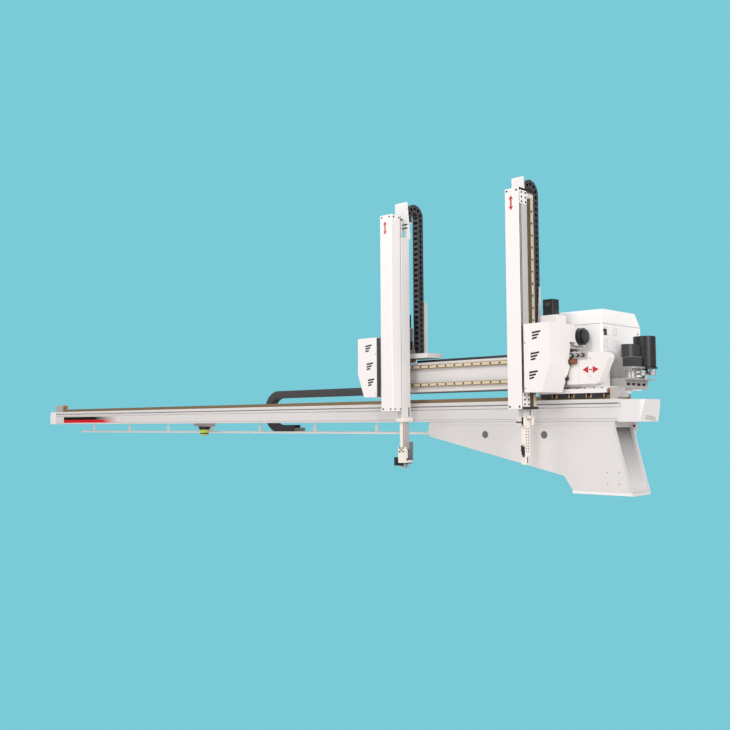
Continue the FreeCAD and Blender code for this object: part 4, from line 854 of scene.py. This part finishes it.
def pedestal_details():
    """Screws, hand hole plugs, end panel with painted shade darker towards its top, light edges and base
    screws of the pedestal.
    """
    low, high = (np.array(value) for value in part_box("pedestal"))
    places = [(x, low[1] + 0.001, z) for x in (0.033, 0.094) for z in (0.054, 0.108)]
    screws("pedestal_screws", places, 1, 0.0036, -0.0016, "beam_frame", PLATE)
    plugs = [disc((x, 0, 0.283), 1, 0.0190, low[1] - 0.0006, low[1] + 0.002, 40) for x in (-0.678, -0.314)]
    make("hand_hole_plugs", plugs, PLUG, "beam_frame")
    foot = 0.014
    head = high[2] - 0.0002
    wall = 0.010
    outline = [(0.1455, foot + 0.0005), (0.1465, foot + 0.0005),
               (0.0605, head - 0.010), (0.0595, head - 0.010)]
    # Painted shade: the end panel goes from light at its foot to dark under its top.
    panel_shade = fading("end_panel", (0.60, 0.585, 0.58), 0.05, 0.31, (0.19, 0.187, 0.187), "Z")
    panel = extrude(outline, 1, low[1] + wall - 0.0001, high[1] - wall + 0.0001)
    make("pedestal_end_panel", [panel], panel_shade, "beam_frame")
    edge = [(0.1528, foot), (0.1538, foot), (0.0698, head), (0.0688, head)]
    edges = [extrude(edge, 1, low[1], low[1] + wall), extrude(edge, 1, high[1] - wall, high[1])]
    edges.append(box((-FOOT_HALF, low[1] - 0.0004, 0.0005), (FOOT_HALF, low[1] + 0.001, foot - 0.0005)))
    make("pedestal_edges", edges, WHITE, "beam_frame")
    bolts = [(x, y, foot) for x in (-0.129, 0.129) for y in (-0.064, 0.064)]
    screws("base_screws", bolts, 2, 0.0135, 0.009, "beam_frame", STEEL)


def end_cover_details():
    """Curved louvres on the near end cover, z = z0 - d t^2 over its width, and the chain anchor under it."""
    louvres = []
    share = np.linspace(0, 1, 14)
    for index in range(3):
        y = -0.045 + 0.103 * share
        z = 0.3735 - 0.0072 * index - 0.012 * share ** 2
        rim = [np.concatenate([y, y[::-1]]), np.concatenate([z + 0.001, z[::-1] - 0.001])]
        verts, faces = extrude(np.column_stack(rim), 0, 0.2084, 0.2097)
        verts[:, 0] += (verts[:, 2] - 0.36) * 0.214
        louvres.append((verts, faces))
    make("end_cover_louvres", louvres, GREY, "beam_frame")
    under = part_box("right_end_cover")[0][2]
    body = box((0.070, 0.086, under - 0.042), (0.092, 0.108, under + 0.001))
    profile = [(0.0035, under - 0.100), (0.0045, under - 0.070), (0.0060, under - 0.041)]
    wire = lathe((0.078, 0.098, 0), 2, profile, 16)
    make("chain_anchor", [body, wire], WHITE, "beam_frame")
    bolt = disc((0.083, 0.086, under - 0.020), 1, 0.006, 0.0845, 0.0862, 20)
    make("chain_anchor_bolt", [bolt], BLACK, "beam_frame")


def rail_holes():
    """Dark bores along both traverse rails."""
    low, high = (np.array(value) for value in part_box("traverse_rails"))
    holes = []
    for index in range(int((high[0] - low[0]) / RAIL_PITCH)):
        x = low[0] + 0.03 + index * RAIL_PITCH
        for y in (low[1] + 0.01, high[1] - 0.01):
            holes.append(disc((x, y, 0), 2, 0.0046, high[2] - 0.002, high[2] + 0.0001, 16))
    make("traverse_rail_holes", holes, SHADE, "beam_frame")


def gripper_details():
    """Screws, pads, cylinder and plates of the far arm's gripper, and the faces of its hanging bar."""
    low, high = (np.array(value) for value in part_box("gripper_body"))
    finger_low, finger_high = (np.array(value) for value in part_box("gripper_finger_front"))
    middle = (finger_low[0] + finger_high[0]) / 2 + 0.010
    top = finger_high[2]
    level = top + 0.087 - 0.015
    offsets = ((0, 0), (-0.012, 0.010), (0.012, 0.010), (-0.012, -0.010), (0.012, -0.010))
    places = [(middle + dx, low[1], level + dz) for dx, dz in offsets]
    screws("gripper_screws", places, 1, 0.0044, -0.003, "sub_column")
    pad_top = top + 0.0163
    pad = box((low[0] - 0.0004, low[1] + 0.0056, pad_top - 0.0324),
              (middle + 0.002, low[1] + 0.0132, pad_top + 0.014))
    under = box((middle - 0.016, low[1] + 0.013, top - 0.004),
                (high[0] - 0.002, high[1] - 0.004, top + 0.0004))
    make("gripper_pad", [pad, under], BLACK, "sub_column")
    bar_low = corner("sub_wrist_flange", 0)[2]
    centre = (middle - 0.002, (finger_high[1] + corner("gripper_finger_rear", 0)[1]) / 2, 0)
    cylinder = disc(centre, 2, 0.0113, top + 0.024, bar_low - 0.001, 28)
    make("gripper_cylinder", [cylinder], WHITE, "sub_column")
    make("gripper_ring", [disc(centre, 2, 0.0120, top + 0.013, top + 0.024, 28)], BLACK, "sub_column")
    rear = box((high[0] - 0.0415, high[1] - 0.0056, top + 0.014),
               (high[0] + 0.0004, high[1] + 0.0004, high[2] + 0.0004))
    make("gripper_rear", [rear], GREY, "sub_column")
    side = box((middle + 0.0018, -0.2185, bar_low + 0.0005), (middle + 0.0024, -0.1702, bar_low + 0.153))
    make("hanging_bar_side", [side], PLATE, "sub_column")
    edge = box((middle + 0.0018, -0.2202, bar_low + 0.0005), (middle + 0.0026, -0.2180, bar_low + 0.153))
    make("hanging_bar_edge", [edge], GREY, "sub_column")


def wrist_details():
    """Holes, fitting and slot of the near arm's flip bar, and the lever and screws of its flange."""
    low, high = (np.array(value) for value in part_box("flip_bar"))
    holes = []
    for index in range(9):
        for y in (-0.203, -0.187):
            place = (0, y, 0.202 + index * 0.014)
            holes.append(disc(place, 0, 0.0035, high[0] - 0.001, high[0] + 0.0003, 14))
    make("flip_bar_holes", holes, SHADE, "flip_bar")
    middle = (low[0] + high[0]) / 2
    fitting = [box((low[0] + 0.004, low[1] - 0.006, 0.186), (high[0] - 0.003, low[1] + 0.001, 0.226)),
               disc((low[0] + 0.008, low[1] - 0.006, 0), 2, 0.006, 0.205, 0.233, 16),
               disc((middle + 0.004, low[1] - 0.005, 0), 2, 0.005, 0.176, 0.192, 16)]
    make("flip_bar_fitting", fitting, BLACK, "flip_bar")
    slot = box((high[0] - 0.0036, low[1] + 0.017, low[2] + 0.008),
               (high[0] - 0.0024, low[1] + 0.025, low[2] + 0.038))
    make("flip_bar_slot", [slot], SHADE, "flip_bar")
    low, high = (np.array(value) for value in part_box("main_wrist_flange"))
    lever = [disc((0, low[1] + 0.001, 0.347), 0, 0.0035, low[0] + 0.006, high[0] - 0.010, 16),
             box((high[0] - 0.014, low[1] + 0.003, 0.334), (high[0] - 0.005, low[1] + 0.0055, 0.371))]
    make("flange_lever", lever, BLACK, "main_column")
    places = [(high[0], y, 0.3695) for y in (-0.172, -0.222)]
    screws("flange_screws", places, 0, 0.0032, 0.0006, "main_column")


def stage():
    """Floor, world light, lamps and camera."""
    floor = bpy.data.materials.new("floor")
    floor.use_nodes = True
    tree = floor.node_tree
    shader = tree.nodes["Principled BSDF"]
    shader.inputs["Base Color"].default_value = (0.80, 0.775, 0.765, 1)
    shader.inputs["Roughness"].default_value = 0.8
    glow = tree.nodes.new("ShaderNodeEmission")
    glow.inputs["Color"].default_value = (*BACKDROP, 1)
    path = tree.nodes.new("ShaderNodeLightPath")
    mixer = tree.nodes.new("ShaderNodeMixShader")
    tree.links.new(path.outputs["Is Camera Ray"], mixer.inputs["Fac"])
    tree.links.new(shader.outputs["BSDF"], mixer.inputs[1])
    tree.links.new(glow.outputs["Emission"], mixer.inputs[2])
    tree.links.new(mixer.outputs["Shader"], tree.nodes["Material Output"].inputs["Surface"])
    plane = make("floor", [box((-30, -30, -1.42), (30, 30, -1.40))], floor)

    world = bpy.data.worlds.new("studio")
    bpy.context.scene.world = world
    world.use_nodes = True
    tree = world.node_tree
    background = tree.nodes["Background"]
    path = tree.nodes.new("ShaderNodeLightPath")
    mixer = tree.nodes.new("ShaderNodeMix")
    mixer.data_type = "RGBA"
    mixer.inputs["A"].default_value = (0.66, 0.64, 0.635, 1)
    mixer.inputs["B"].default_value = (*BACKDROP, 1)
    tree.links.new(path.outputs["Is Camera Ray"], mixer.inputs["Factor"])
    tree.links.new(mixer.outputs["Result"], background.inputs["Color"])
    strength = tree.nodes.new("ShaderNodeMapRange")
    strength.inputs["To Min"].default_value = 0.60
    strength.inputs["To Max"].default_value = 1.0
    tree.links.new(path.outputs["Is Camera Ray"], strength.inputs["Value"])
    tree.links.new(strength.outputs["Result"], background.inputs["Strength"])

    lamps = (
        ("key", (0.5, -5.5, 4.2), (-1.2, 0, 0.8), 3.0, 138),
        ("fill", (9.0, -3.0, 4.3), (-0.6, 0, 0.6), 4.5, 700),
        ("left", (-6.0, -4.5, 3.0), (-3.0, 0, 0.5), 3.0, 120),
        ("low", (0.0, -6.5, 0.7), (-2.2, 0, 0.3), 3.0, 50),
        ("top", (-1.5, 1.5, 5.0), (-1.5, 0, 0.5), 4.0, 70),
    )
    for name, place, target, size, power in lamps:
        data = bpy.data.lights.new(name, "AREA")
        data.size = size
        data.energy = power
        lamp = bpy.data.objects.new(name, data)
        bpy.context.scene.collection.objects.link(lamp)
        back = np.array(place) - np.array(target)
        back = back / np.linalg.norm(back)
        right = np.cross((0, 0, 1), back)
        right = right / np.linalg.norm(right)
        rise = np.cross(back, right)
        turned = np.eye(4)
        turned[:3, :3] = np.column_stack([right, rise, back])
        turned[:3, 3] = place
        lamp.matrix_world = Matrix(turned.tolist())

    data = bpy.data.cameras.new("photo_camera")
    data.lens = CAMERA_LENS
    data.sensor_width = 36
    data.clip_end = 100
    camera = bpy.data.objects.new("photo_camera", data)
    bpy.context.scene.collection.objects.link(camera)
    camera.matrix_world = Matrix(camera_pose().tolist())
    bpy.context.scene.camera = camera
    bpy.context.scene.view_settings.view_transform = "Standard"


def camera_pose():
    """The camera's 4x4 matrix from its yaw, pitch and roll."""
    yaw, pitch, roll = (math.radians(value) for value in (CAMERA_YAW, CAMERA_PITCH, CAMERA_ROLL))
    forward = np.array([-math.sin(yaw) * math.cos(pitch), math.cos(yaw) * math.cos(pitch), math.sin(pitch)])
    right = np.cross(forward, (0, 0, 1))
    right = right / np.linalg.norm(right)
    rise = np.cross(right, forward)
    turned_right = math.cos(roll) * right - math.sin(roll) * rise
    turned_rise = math.sin(roll) * right + math.cos(roll) * rise
    pose = np.eye(4)
    pose[:3, :3] = np.column_stack([turned_right, turned_rise, -forward])
    pose[:3, 3] = CAMERA_PLACE
    return pose


paint_cad()
arm_chains()
traverse_chain()
arm_details()
rail_faces()
head_details()
near_head_parts()
kick_flange_face()
far_head_parts()
carriage_fittings()
cabinet_details()
drive_details()
kick_cover_details()
beam_details()
hanger_details()
lamp_details()
pedestal_details()
end_cover_details()
rail_holes()
gripper_details()
wrist_details()
stage()
